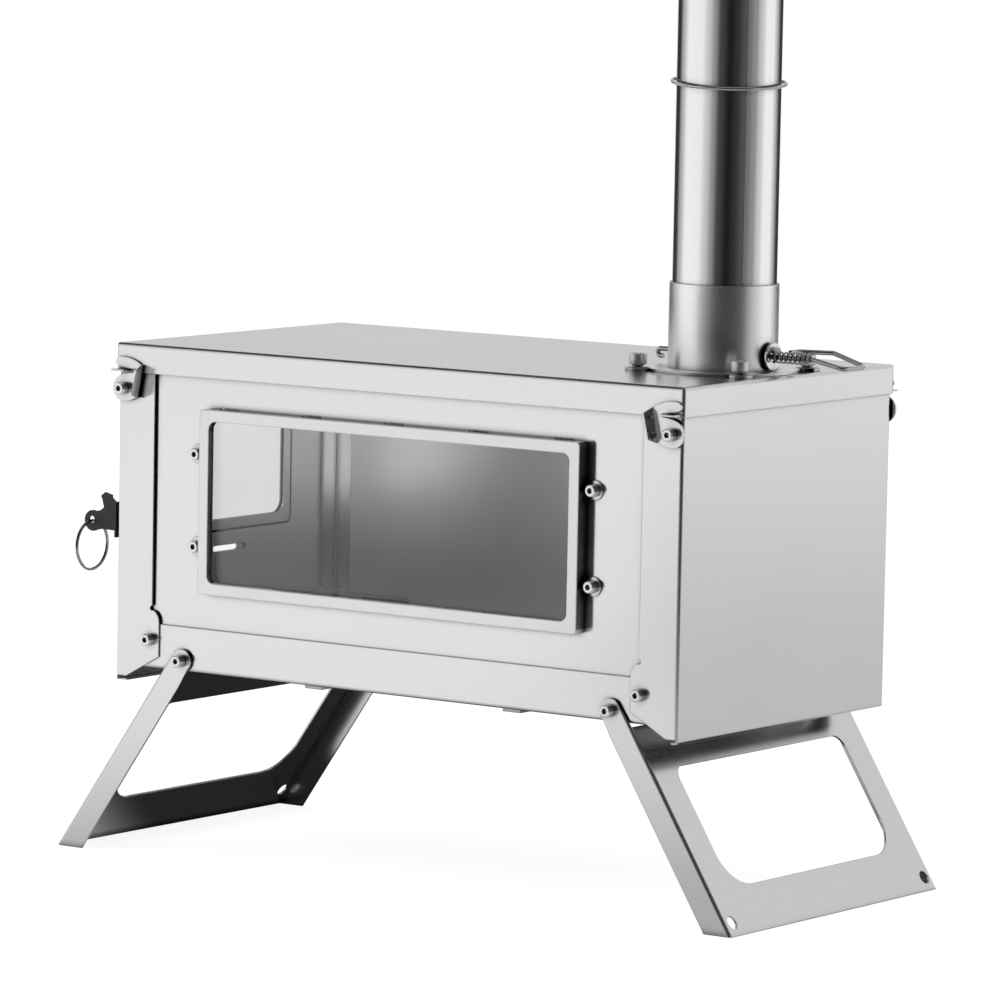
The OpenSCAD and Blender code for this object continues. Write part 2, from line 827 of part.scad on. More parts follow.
module clamp_nuts() {
    color(dull) {
        at_panel_pivots() hex_nut(panel_y);
        at_leg_pivots() hex_nut(panel_y);
        at_latch_pivots() hex_nut(tray_y);
        at_window_screws() hex_nut(panel_in_y);
    }
}

// leg window with small upper and large lower corners, in distances across and below the pivot
module leg_window_outline() {
    tall = leg_window_end - leg_window_top;
    upper = tall - leg_window_low_radius;
    lower = tall - leg_window_radius;
    translate([0, -leg_window_top - upper / 2])
        rounded(2 * leg_window_half, upper, leg_window_radius);
    translate([0, -leg_window_end + lower / 2])
        rounded(2 * leg_window_half, lower, leg_window_low_radius);
}

// leg frame on the right side, drawn hanging from its pivot and then tilted outwards
module leg_frame(pivot_x, tilt) {
    tuck_share = 0.96;
    tuck = tuck_share * strip_end;
    difference() {
        translate([pivot_x, 0, leg_pivot_z]) rotate([0, -tilt, 0]) difference() {
            intersection() {
                difference() {
                    translate([-bend, 0, -leg_length]) linear_extrude(leg_length + past + strip_end)
                        rounded(2 * (strip_outer + bend), 2 * leg_outer_y, bend);
                    translate([-strip_outer - leg_sheet, 0, -leg_length - past])
                        linear_extrude(leg_length + 3 * past + strip_end)
                            rounded(4 * strip_outer, 2 * leg_inner_y, bend - leg_sheet);
                }
                union() {
                    translate([0, lid_y, 0]) rotate([right_angle, 0, 0])
                        cylinder(h = 2 * lid_y, r = strip_end);
                    facing(-lid_y, lid_y) polygon([
                        [tuck, 0], [-tuck, 0], [-strip_inner, -leg_plate_start],
                        [-strip_inner, -leg_length], [strip_outer + past, -leg_length],
                        [strip_outer + past, -leg_plate_start], [strip_outer, -leg_plate_start]]);
                }
            }
            translate([0, -leg_inner_y, -leg_plate_start])
                cube([2 * strip_outer, 2 * leg_inner_y, leg_plate_start + 2 * strip_end]);
            siding(0, 2 * strip_outer) {
                leg_window_outline();
                for (side = [-1, 1]) translate([side * peg_hole_side, -peg_hole_down])
                    circle(peg_hole_radius);
            }
            translate([0, lid_y, 0]) rotate([right_angle, 0, 0])
                cylinder(h = 2 * lid_y, r = hole_radius);
        }
        translate([0, -leg_outer_y - past, -leg_length])
            cube([2 * lid_x, 2 * (leg_outer_y + past), leg_length]);
    }
}

module leg_right() {
    color(steel) leg_frame(leg_pivot_right, right_leg_tilt);
}

module leg_left() {
    color(steel) mirror([1, 0, 0]) leg_frame(leg_pivot_left, left_leg_tilt);
}

// latch hook on the right side, its pivot at the origin and its face at the front
module latch_hook_shape() {
    lip_foot = [-0.475, -0.251] * hook_size;
    lip_head = [-0.612, 0.842] * hook_size;
    lip_rise = lip_head - lip_foot;
    lip_side = norm(lip_rise);
    eye_share = 0.435;
    lip_top_share = 0.8;
    lip_foot_share = 0.12;
    fold_steps = 4;
    difference() {
        union() {
            rotate([right_angle, 0, 0]) cylinder(h = hook_sheet, r = eye_share * hook_size);
            facing(0, hook_sheet) polygon(hook_size * [
                [-0.577, 0.8], [-0.5, 0.905], [-0.34, 0.975], [0.011, 1], [0.295, 0.831], [0.35, 0.74],
                [0.3, 0.689], [0.137, 0.689], [-0.415, 0.596], [-0.454, 0.536], [-0.393, 0.459],
                [-0.06, 0.41], [0.25, 0.25], [0.25, -0.25], [-0.1, -0.36], [-0.39, -0.317],
                [-0.445, -0.22]]);
        }
        translate([0, past, 0]) rotate([right_angle, 0, 0]) cylinder(h = 2 * past, r = hole_radius);
    }
    translate([lip_foot[0], -hook_sheet, lip_foot[1]])
        rotate([0, atan(lip_rise[0] / lip_rise[1]), 0]) difference() {
            linear_extrude(lip_side) polygon(concat(
                [[hook_sheet, 0], [hook_sheet, hook_sheet]],
                [for (step = [0:fold_steps]) let (turn = lip_fold * step / fold_steps)
                    hook_sheet * [-sin(turn), cos(turn)]],
                [lip_length * [-cos(lip_fold), -sin(lip_fold)]
                    + hook_sheet * [-sin(lip_fold), cos(lip_fold)],
                lip_length * [-cos(lip_fold), -sin(lip_fold)], [0, 0]]));
            rotate([0, 0, lip_fold]) facing(-past, past) {
                polygon([[-lip_length / 3, lip_side + past], [-lip_length / 3, lip_side],
                    [-lip_length, lip_top_share * lip_side],
                    [-lip_length - past, lip_top_share * lip_side],
                    [-lip_length - past, lip_side + past]]);
                polygon([[-lip_length / 2, -past], [-lip_length / 2, 0],
                    [-lip_length, lip_foot_share * lip_side],
                    [-lip_length - past, lip_foot_share * lip_side],
                    [-lip_length - past, -past]]);
            }
        }
}

module latch_hook() {
    color(bright) translate([latch_pivot_x, -hook_back_y, latch_pivot_z]) latch_hook_shape();
}

module latch_hook_front_right() {
    latch_hook();
}

module latch_hook_front_left() {
    mirror([1, 0, 0]) latch_hook();
}

module latch_hook_rear_right() {
    mirror([0, 1, 0]) latch_hook();
}

module latch_hook_rear_left() {
    mirror([1, 0, 0]) mirror([0, 1, 0]) latch_hook();
}

module at_stud(side_x, side_y) {
    translate([flue_x + side_x * stud_side, side_y * stud_side, 0]) children();
}

module at_studs() {
    for (x = [-1, 1], y = [-1, 1]) at_stud(x, y) children();
}

module flue_collar() {
    ledge_top = pipe_foot - side_air;
    color(steel) translate([flue_x, 0, 0]) difference() {
        union() {
            translate([0, 0, lid_height]) cylinder(h = collar_height, r = collar_out);
            translate([0, 0, lid_height]) linear_extrude(base_sheet) difference() {
                union() {
                    circle(base_radius);
                    for (x = [-1, 1], y = [-1, 1])
                        translate([x * stud_side, y * stud_side]) circle(lobe_radius);
                }
                for (turn = [0:3]) rotate(turn * right_angle + right_angle / 2)
                    translate([stud_side * sqrt(2), 0]) {
                        circle(lobe_slot / 2);
                        translate([-lobe_slot / 2, -lobe_radius - past])
                            square([lobe_slot, lobe_radius + past]);
                    }
            }
        }
        translate([0, 0, lid_height - past])
            cylinder(h = ledge_top - ledge_height - lid_height + past, r = collar_in);
        translate([0, 0, lid_height]) cylinder(h = collar_height, r = collar_in - ledge_width);
        translate([0, 0, ledge_top]) cylinder(h = collar_height, r = collar_in);
        translate([0, 0, rod_z]) rotate([0, right_angle, 0])
            cylinder(h = 2 * lid_y, r = rod_radius + pivot_play, center = true);
    }
}

module collar_studs() {
    color(dull) at_studs() translate([0, 0, under_lid])
        cylinder(h = stud_top - under_lid, r = shank_radius);
}

module collar_washers() {
    color(bright) at_studs() translate([0, 0, lid_height + base_sheet]) linear_extrude(thin_washer)
        difference() {
            circle(thin_washer_radius);
            circle(shank_radius);
        }
}

module thumb_nut() {
    crown = thumb_foot + thumb_neck + thumb_height;
    color(bright) difference() {
        rotate_extrude() polygon([
            [0, thumb_foot], [thumb_neck_radius, thumb_foot],
            [thumb_neck_radius, thumb_foot + thumb_neck],
            [thumb_radius - head_chamfer, thumb_foot + thumb_neck],
            [thumb_radius, thumb_foot + thumb_neck + head_chamfer],
            [thumb_radius, crown - head_chamfer], [thumb_radius - head_chamfer, crown],
            [0, crown]]);
        translate([0, 0, thumb_foot - past])
            cylinder(h = stud_top + side_air - thumb_foot + past, r = hole_radius);
    }
}

module thumb_nut_front_left() {
    at_stud(-1, -1) thumb_nut();
}

module thumb_nut_front_right() {
    at_stud(1, -1) thumb_nut();
}

module thumb_nut_rear_left() {
    at_stud(-1, 1) thumb_nut();
}

module thumb_nut_rear_right() {
    at_stud(1, 1) thumb_nut();
}

// a bend of round wire stands this much proud of the wire
knuckle_share = 1.03;

// straight piece of round wire with a round end at its start
module wire(from, to, radius) {
    run = to - from;
    flat = norm([run[0], run[1]]);
    translate(from) {
        sphere(knuckle_share * radius, $fn = 32);
        rotate([0, atan2(flat, run[2]), atan2(run[1], run[0])])
            cylinder(h = norm(run), r = radius, $fn = 32);
    }
}

module damper_rod() {
    handle = [
        [-far_tip, 0, 0],
        [handle_reach - handle_bend, 0, 0],
        [handle_reach, 0, -handle_drop],
        [handle_reach, handle_width, -handle_drop],
        [spring_end, handle_width, return_rise],
        [return_reach, handle_width - far_hook, return_rise],
        [return_reach, tip_side, return_rise]];
    hook = [
        [-far_tip, 0, 0],
        [-far_tip - far_hook / 4, 0, -far_hook / 3],
        [-far_tip, 0, -far_hook + rod_radius],
        [-far_tip + far_hook / 2, 0, -far_hook + rod_radius]];
    color(dull) translate([flue_x, 0, rod_z]) {
        for (step = [0:len(handle) - 2]) wire(handle[step], handle[step + 1], rod_radius);
        for (step = [1:len(hook) - 2]) wire(hook[step], hook[step + 1], rod_radius);
        wire(hook[1], hook[0], rod_radius);
        translate(handle[len(handle) - 1]) sphere(knuckle_share * rod_radius, $fn = 32);
        translate(hook[len(hook) - 1]) sphere(knuckle_share * rod_radius, $fn = 32);
    }
}

module damper_plate() {
    color(dull) translate([flue_x, 0, rod_z]) difference() {
        union() {
            translate([0, 0, rod_radius]) cylinder(h = disc_sheet, r = disc_radius);
            both_x() translate([loop_gap / 2, 0, 0]) rotate([0, right_angle, 0])
                cylinder(h = loop_length, r = rod_radius + loop_wall, center = true);
        }
        rotate([0, right_angle, 0]) cylinder(h = 2 * lid_y, r = rod_radius, center = true);
        translate([0, 0, rod_radius + disc_sheet]) cylinder(h = past, r = disc_radius);
    }
}

module damper_washer() {
    color(bright) translate([flue_x + collar_out + side_air, 0, rod_z]) rotate([0, right_angle, 0])
        difference() {
            union() {
                cylinder(h = cup_hub_length, r = cup_hub);
                translate([0, 0, cup_hub_length]) cylinder(h = cup_sheet, r = cup_radius);
            }
            translate([0, 0, -past]) cylinder(h = 3 * past, r = rod_radius);
        }
}

// centre line of the spring: straight for one wire width, then wound round the rod
spring_start = collar_out + side_air + cup_hub_length + cup_sheet;
spring_length = spring_end - spring_start;
ring_steps = 8;
wire_sides = 6;
wound = spring_length - 4 * spring_wire;
turns_total = coils * ring_steps;
spring_pitch = wound / coils;
spring_gap = spring_pitch - 2 * spring_wire;
echo(spring_gap = spring_gap);

function coil_point(step) =
    let (turn = full_turn * step / ring_steps)
    [spring_start + 2 * spring_wire + wound * step / turns_total,
        spring_radius * cos(turn), spring_radius * sin(turn)];

spring_line = concat(
    [[spring_start, spring_radius, 0], [spring_start + spring_wire, spring_radius, 0]],
    [for (step = [0:turns_total]) coil_point(step)],
    [[spring_end - spring_wire, spring_radius, 0], [spring_end, spring_radius, 0]]);

function ring_points(point, ahead, outward) =
    let (normal = ahead / norm(ahead), side = cross(normal, outward), up = side / norm(side),
        away = cross(up, normal))
    [for (corner = [0:wire_sides - 1])
        let (turn = full_turn * corner / wire_sides)
        point + spring_wire * (cos(turn) * away + sin(turn) * up)];

function line_ahead(index) =
    let (last = len(spring_line) - 1)
    index == 0 || index == 1 || index >= last - 1 ? [1, 0, 0]
        : spring_line[index + 1] - spring_line[index - 1];

module damper_spring() {
    count = len(spring_line);
    rings = [for (index = [0:count - 1])
        let (point = spring_line[index])
        each ring_points(point, line_ahead(index), [0, point[1], point[2]])];
    sides = [for (index = [0:count - 2], corner = [0:wire_sides - 1])
        let (next = (corner + 1) % wire_sides, here = index * wire_sides,
            beyond = here + wire_sides)
        each [[here + corner, here + next, beyond + next],
            [here + corner, beyond + next, beyond + corner]]];
    start_cap = [for (corner = [0:wire_sides - 1]) wire_sides - 1 - corner];
    end_cap = [for (corner = [0:wire_sides - 1]) (count - 1) * wire_sides + corner];
    color(bright) translate([flue_x, 0, rod_z])
        polyhedron(points = rings, faces = concat([start_cap], sides, [end_cap]));
}

// rolled pipe with the outer lap of its seam above the collar
module chimney_pipe() {
    lap_foot = collar_rim + lap_rise;
    lap_start = -37;
    lap_sweep = 12;
    color(bright) translate([flue_x, 0, 0]) difference() {
        union() {
            translate([0, 0, pipe_foot]) cylinder(h = pipe_top - pipe_foot, r = pipe_radius);
            translate([0, 0, lap_foot]) rotate(lap_start) rotate_extrude(angle = lap_sweep)
                translate([pipe_radius - pipe_wall / 2, 0])
                    square([pipe_wall / 2 + lap_wall, pipe_top - lap_foot]);
        }
        translate([0, 0, pipe_foot - past])
            cylinder(h = pipe_top - pipe_foot + 2 * past, r = pipe_radius - pipe_wall);
    }
}

// sprung wire hoop that leans against the far side of the pipe
module pipe_hoop() {
    slack = hoop_radius - hoop_wire - pipe_radius;
    away = 125;
    lean = [3.2, 2.8, 0];
    color(bright) translate([flue_x - slack * cos(away), -slack * sin(away), pipe_top - hoop_drop])
        rotate(lean) rotate_extrude() translate([hoop_radius, 0]) circle(hoop_wire);
}

module at_hinge_lugs() {
    for (height = [door_foot + lug_inset, door_foot + door_height - lug_inset])
        translate([-hinge_x, hinge_y, height]) children();
}

module door_hinge_brackets() {
    color(dull) difference() {
        at_hinge_lugs() translate([0, 0, -lug_sheet - side_air]) {
            cylinder(h = lug_sheet, r = lug_radius);
            translate([0, -lug_radius, 0]) cube([hinge_out, 2 * lug_radius, lug_sheet]);
            translate([hinge_out - lug_sheet, -lug_radius, -lug_radius])
                cube([lug_sheet, 3 * lug_radius, 2 * lug_radius]);
        }
        at_hinge_lugs() cylinder(h = 3 * past, r = pin_radius, center = true);
    }
}

module door_hinge_pins() {
    pin_foot = -3 * lug_sheet - side_air;
    color(bright) at_hinge_lugs() translate([0, 0, pin_foot]) {
        cylinder(h = 5 * lug_sheet + side_air, r = pin_radius);
        cylinder(h = 2 * lug_sheet, r = pin_radius + small_height / 2);
    }
}

module at_ring_screws() {
    for (y = [-1, 1], z = [-1, 1])
        translate([0, y * (ring_half - ring_screw_in),
            sight_middle_z + z * (ring_tall / 2 - ring_screw_in)])
            rotate([0, right_angle, 0]) children();
}

module door_outline(inset) {
    translate([door_middle, door_foot + door_height / 2])
        rounded(door_width - 2 * inset, door_height - 2 * inset, door_corner - inset);
}

module lever_slot() {
    translate([-lever_side, lever_z - lever_out / 2])
        square([2 * ear_gap, 3 * lever_out], center = true);
}

module door_panel() {
    color(steel) {
        difference() {
            siding(-door_face, -door_face + door_depth) door_outline(0);
            siding(-door_face + sheet, -door_face + 2 * door_depth) door_outline(sheet);
            siding(-door_face - past, -plate_x) {
                translate([0, sight_middle_z])
                    rounded(2 * sight_half, sight_height, sight_corner);
                lever_slot();
            }
            translate([-door_face, 0, 0]) at_ring_screws()
                cylinder(h = 2 * past, r = small_radius, center = true);
        }
        difference() {
            at_hinge_lugs() linear_extrude(lug_sheet) {
                circle(lug_radius);
                translate([0, -hinge_back - sheet / 2]) square([lug_radius, hinge_back + sheet / 2]);
            }
            at_hinge_lugs() cylinder(h = 3 * past, r = pin_radius + pivot_play, center = true);
        }
    }
}

module door_glass() {
    color(pane) siding(-door_face + sheet, -door_face + sheet + glass)
        translate([0, sight_middle_z]) rounded(2 * glass_half, glass_tall, sight_corner);
}

module door_glass_ring() {
    ring_face = -door_face + sheet + glass;
    color(steel) difference() {
        siding(ring_face, ring_face + sheet) translate([0, sight_middle_z]) difference() {
            rounded(2 * ring_half, ring_tall, ring_corner);
            rounded(2 * sight_half, sight_height, sight_corner);
        }
        translate([ring_face, 0, 0]) at_ring_screws()
            cylinder(h = 2 * past, r = small_radius, center = true);
    }
}

module door_screws() {
    color(bright) translate([-door_face - small_height, 0, 0]) at_ring_screws() {
        cylinder(h = small_height, r = small_head);
        cylinder(h = small_height + 2 * sheet + glass, r = small_radius);
    }
}

// fixed tab on the end panel that the lever's nose bears up under
module latch_catch() {
    catch_reach = lever_out + sheet - side_air;
    color(dull) translate([-plate_x - catch_reach, -lever_side - ear_gap / 2,
        lever_z + nose_top_share * lever_reach + side_air])
        cube([catch_reach, ear_gap, lug_sheet]);
}

module latch_bracket() {
    ear = lever_sheet;
    color(dark) difference() {
        union() {
            difference() {
                siding(-door_face - ear, -door_face) translate([-lever_side, lever_z - lever_out / 2])
                    square([2 * ear_gap + 4 * lever_out, 3 * lever_out + 4 * ear], center = true);
                siding(-door_face - 2 * ear, -door_face + ear) lever_slot();
            }
            for (side = [-1, 1]) translate([0, side * (ear_gap + ear / 2), 0])
                facing(lever_side - ear / 2, lever_side + ear / 2) translate([-lever_x, lever_z]) {
                    circle(lever_out - sheet);
                    translate([0, -lever_out + sheet]) square([lever_out, 2 * (lever_out - sheet)]);
                }
        }
        translate([-lever_x, 0, lever_z]) rotate([right_angle, 0, 0])
            cylinder(h = 2 * lid_y, r = pin_radius);
    }
}

// pivot pin of the lever with two shoulders that keep the lever in the middle
module latch_pin() {
    half = ear_gap + 2 * lever_sheet;
    color(bright) translate([-lever_x, -lever_side, lever_z]) rotate([right_angle, 0, 0])
        rotate_extrude() polygon([
            [0, -half], [pin_radius, -half], [pin_radius, -ear_gap],
            [pin_radius + small_height / 2, -ear_gap], [pin_radius + small_height / 2, -lever_gap],
            [pin_radius, -lever_gap], [pin_radius, lever_gap],
            [pin_radius + small_height / 2, lever_gap], [pin_radius + small_height / 2, ear_gap],
            [pin_radius, ear_gap], [pin_radius, half], [0, half]]);
}

module latch_lever() {
    boss_share = 0.135;
    color(dark) translate([-lever_x, 0, lever_z]) difference() {
        facing(lever_side - lever_sheet / 2, lever_side + lever_sheet / 2) {
            translate(lobe_shares * lever_reach) circle(lobe_radius_share * lever_reach);
            circle(boss_share * lever_reach);
            polygon(lever_reach * [
                [nose_share, -0.075], [nose_share, nose_top_share], [0.088, nose_top_share],
                [0, 0.13], [-0.068, 0.142], [-0.22, 0.213], [-0.3, 0.27], [-0.31, 0.335],
                [-0.486, 0.378], [-0.588, 0.301], [-0.55, 0.22], [-0.53, 0.14], [-0.51, 0.074],
                [-0.59, 0.01], [-0.7, -0.02], [-0.79, -0.02], [-0.79, -0.41], [-0.7, -0.4],
                [-0.547, -0.368], [-0.209, -0.378], [0.034, -0.304]]);
        }
        translate([0, -lever_side, 0]) rotate([right_angle, 0, 0]) {
            cylinder(h = 2 * past, r = pin_radius + pivot_play, center = true);
            translate(hole_shares * lever_reach)
                cylinder(h = 2 * past, r = ring_hole, center = true);
        }
    }
}

// split ring of two flat turns, hanging through the hole of the lever
module split_ring() {
    bevel = ring_turn / 4;
    inner = ring_radius - ring_wire;
    color(bright) translate([-hole_x, -lever_side, hole_z - ring_radius]) rotate([0, right_angle, 0])
        rotate_extrude($fn = 96) polygon([
            [inner, -ring_turn + bevel], [inner, ring_turn - bevel], [inner + bevel, ring_turn],
            [ring_radius - bevel, ring_turn], [ring_radius, ring_turn - bevel],
            [ring_radius, bevel], [ring_radius - bevel, 0], [ring_radius, -bevel],
            [ring_radius, -ring_turn + bevel], [ring_radius - bevel, -ring_turn],
            [inner + bevel, -ring_turn]]);
}

module air_guides() {
    edge = slide_height / 2 + side_air;
    strip = slide_x + sheet + side_air;
    color(steel) translate([0, 0, air_z]) for (side = [0, 1]) mirror([0, 0, side]) {
        translate([-strip, -guide_half, edge]) cube([strip - plate_x, 2 * guide_half, guide_rim]);
        translate([-strip - sheet, -guide_half, slide_height / 2 - guide_overlap])
            cube([sheet, 2 * guide_half, guide_overlap + side_air + guide_rim]);
    }
}

module air_slide() {
    color(steel) translate([0, -air_closed, air_z]) difference() {
        siding(-slide_x - sheet, -slide_x) difference() {
            rounded(2 * slide_half, slide_height, sheet);
            rounded(2 * air_half, air_height, air_height / 3);
        }
        translate([-slide_x, -slide_half + 2 * knob_radius, 0]) rotate([0, right_angle, 0])
            cylinder(h = 2 * past, r = small_radius, center = true);
    }
}

module air_knob() {
    waist = knob_radius / 2;
    color(bright) translate([-slide_x, -air_closed - slide_half + 2 * knob_radius, air_z])
        rotate([0, -right_angle, 0]) rotate_extrude() polygon([
            [0, 0], [small_radius, 0], [small_radius, sheet], [waist, sheet],
            [waist, knob_length / 2], [knob_radius, knob_length / 2 + head_chamfer],
            [knob_radius, knob_length + sheet - head_chamfer],
            [knob_radius - head_chamfer, knob_length + sheet], [0, knob_length + sheet]]);
}

bottom_tray();
under_rails();
right_end_panel();
door_end_panel();
front_panel();
rear_panel();
lid();
fire_grate();
window_frame();
window_glass();
window_gasket();
window_screws();
window_washers();
panel_pivot_screws();
leg_pivot_screws();
leg_spacers();
latch_pivot_screws();
latch_spacers();
clamp_nuts();
flue_collar();
collar_studs();
collar_washers();
leg_left();
leg_right();
latch_hook_front_left();
latch_hook_front_right();
latch_hook_rear_left();
latch_hook_rear_right();
thumb_nut_front_left();
thumb_nut_front_right();
thumb_nut_rear_left();
thumb_nut_rear_right();
damper_rod();
damper_plate();
damper_spring();
damper_washer();
chimney_pipe();
pipe_hoop();
door_hinge_brackets();
door_hinge_pins();
door_panel();
door_glass();
door_glass_ring();
door_screws();
latch_catch();
latch_bracket();
latch_pin();
latch_lever();
split_ring();
air_guides();
air_slide();
air_knob();
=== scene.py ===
"""Looks of a folding tent wood stove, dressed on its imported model, in metres."""
import logging
import math
from dataclasses import dataclass
from enum import Enum
from typing import Union

import bpy
from mathutils import Matrix, Vector


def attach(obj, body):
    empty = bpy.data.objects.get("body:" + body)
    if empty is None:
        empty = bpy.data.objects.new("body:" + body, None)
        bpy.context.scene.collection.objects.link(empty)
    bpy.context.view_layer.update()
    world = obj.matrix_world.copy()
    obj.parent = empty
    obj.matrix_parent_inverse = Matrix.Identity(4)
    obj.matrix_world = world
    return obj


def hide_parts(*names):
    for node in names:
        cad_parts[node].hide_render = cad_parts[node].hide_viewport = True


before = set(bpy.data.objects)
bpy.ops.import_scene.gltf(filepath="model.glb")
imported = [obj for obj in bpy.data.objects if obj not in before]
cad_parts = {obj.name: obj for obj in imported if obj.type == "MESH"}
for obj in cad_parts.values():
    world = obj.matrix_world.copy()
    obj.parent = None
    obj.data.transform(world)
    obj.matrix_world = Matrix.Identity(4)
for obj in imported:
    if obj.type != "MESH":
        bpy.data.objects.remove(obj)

log = logging.getLogger("tent_stove")

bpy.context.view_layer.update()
MM = 0.001

# noise keeps mostly to this range, and its octaves are few for clouds and fewer for fine lines
PATTERN_RANGE = (0.3, 0.7)
CLOUD_DETAIL = 4.0
FINE_DETAIL = 3.0

# places of the colour sockets of Blender's mix node, whose names repeat
MIX_FIRST, MIX_SECOND, MIX_RESULT = 6, 7, 2

Triple = tuple[float, float, float]
Pairs = tuple[tuple[float, float], ...]
Socket = bpy.types.NodeSocket
Value = Union[bpy.types.NodeSocket, float, Triple]


class Grain(Enum):
    """Direction in which a sheet was brushed, as the stretch of its fine lines."""

    ALONG_X = (0.03, 1.0, 1.0)
    ALONG_Y = (1.0, 0.03, 1.0)
    ALONG_Z = (1.0, 1.0, 0.03)
    TURNED = (1.0, 1.0, 1.0)


def grey(level: float) -> tuple[float, float, float, float]:
    """Return an opaque grey of the given linear level."""
    return (level, level, level, 1.0)


class Wiring:
    """Adds and joins the nodes of one material or world."""

    def __init__(self, owner: Union[bpy.types.Material, bpy.types.World]) -> None:
        """Open a node tree.

        Args:
            owner: The material or world that is wired.
        """
        owner.use_nodes = True
        self.nodes = owner.node_tree.nodes
        self.links = owner.node_tree.links

    def feed(self, target: Socket, value: Value) -> None:
        """Join an input to another node's output, or set it.

        Args:
            target: The input.
            value: An output that is joined to it, or the value itself.
        """
        if isinstance(value, bpy.types.NodeSocket):
            self.links.new(value, target)
        else:
            target.default_value = value

    def node(self, kind: str, inputs: dict[Union[str, int], Value]) -> bpy.types.Node:
        """Add a node and feed its inputs.

        Args:
            kind: Blender's name for this type of node.
            inputs: What each input is fed, by its name or place.

        Returns:
            The new node.
        """
        made = self.nodes.new(kind)
        for key, value in inputs.items():
            self.feed(made.inputs[key], value)
        return made

    def place(self) -> Socket:
        """Return the object's own coordinates."""
        return self.nodes.new("ShaderNodeTexCoord").outputs["Object"]

    def math(self, operation: str, *values: Value) -> Socket:
        """Add a step of arithmetic.

        Args:
            operation: Blender's name for it.
            values: What its inputs are fed, in order.

        Returns:
            The result.
        """
        step = self.nodes.new("ShaderNodeMath")
        step.operation = operation
        for target, value in zip(step.inputs, values):
            self.feed(target, value)
        return step.outputs["Value"]

    def vector(self, operation: str, *values: Value) -> bpy.types.Node:
        """Add a step of vector arithmetic.

        Args:
            operation: Blender's name for it.
            values: What its inputs are fed, in order.

        Returns:
            The node, whose result is its Vector or its Value.
        """
        step = self.nodes.new("ShaderNodeVectorMath")
        step.operation = operation
        for target, value in zip(step.inputs, values):
            self.feed(target, value)
        return step

    def span(
        self,
        value: Socket,
        source: tuple[float, float],
        result: tuple[float, float] = (0.0, 1.0),
        kind: str = "LINEAR",
    ) -> Socket:
        """Map one range of values to another, and hold it at both ends.

        Args:
            value: The value that is mapped.
            source: Ends of its range.
            result: What these ends become.
            kind: Blender's name for the way between the ends.

        Returns:
            The mapped value.
        """
        step = self.nodes.new("ShaderNodeMapRange")
        step.interpolation_type = kind
        for key, end in zip(("From Min", "From Max", "To Min", "To Max"), source + result):
            self.feed(step.inputs[key], end)
        self.feed(step.inputs["Value"], value)
        return step.outputs["Result"]

    def ramp(self, value: Socket, stops: Pairs) -> Socket:
        """Add a ramp of greys.

        Args:
            value: Place on the ramp, from 0 to 1.
            stops: Place and grey level of each stop, in order.

        Returns:
            The grey at that place.
        """
        step = self.node("ShaderNodeValToRGB", {"Fac": value})
        ramp = step.color_ramp
        ramp.interpolation = "EASE"
        for element, (position, level) in zip(ramp.elements, (stops[0], stops[-1])):
            element.position, element.color = position, grey(level)
        for position, level in stops[1:-1]:
            ramp.elements.new(position).color = grey(level)
        return step.outputs["Color"]

    def noise(self, place: Socket, scale: float, detail: float) -> Socket:
        """Add a noise pattern.

        Args:
            place: Coordinates that the pattern lies on.
            scale: Cells a metre.
            detail: Octaves of the pattern.

        Returns:
            The grey value of the pattern.
        """
        pattern = self.node(
            "ShaderNodeTexNoise", {"Vector": place, "Scale": scale, "Detail": detail}
        )
        return pattern.outputs["Fac"]

    def bump(self, height: Socket, strength: float, distance: float) -> bpy.types.Node:
        """Add a bump.

        Args:
            height: Pattern that is raised.
            strength: Share of the bump that shows.
            distance: Its height in metres.

        Returns:
            The bump node.
        """
        return self.node(
            "ShaderNodeBump", {"Strength": strength, "Distance": distance, "Height": height}
        )


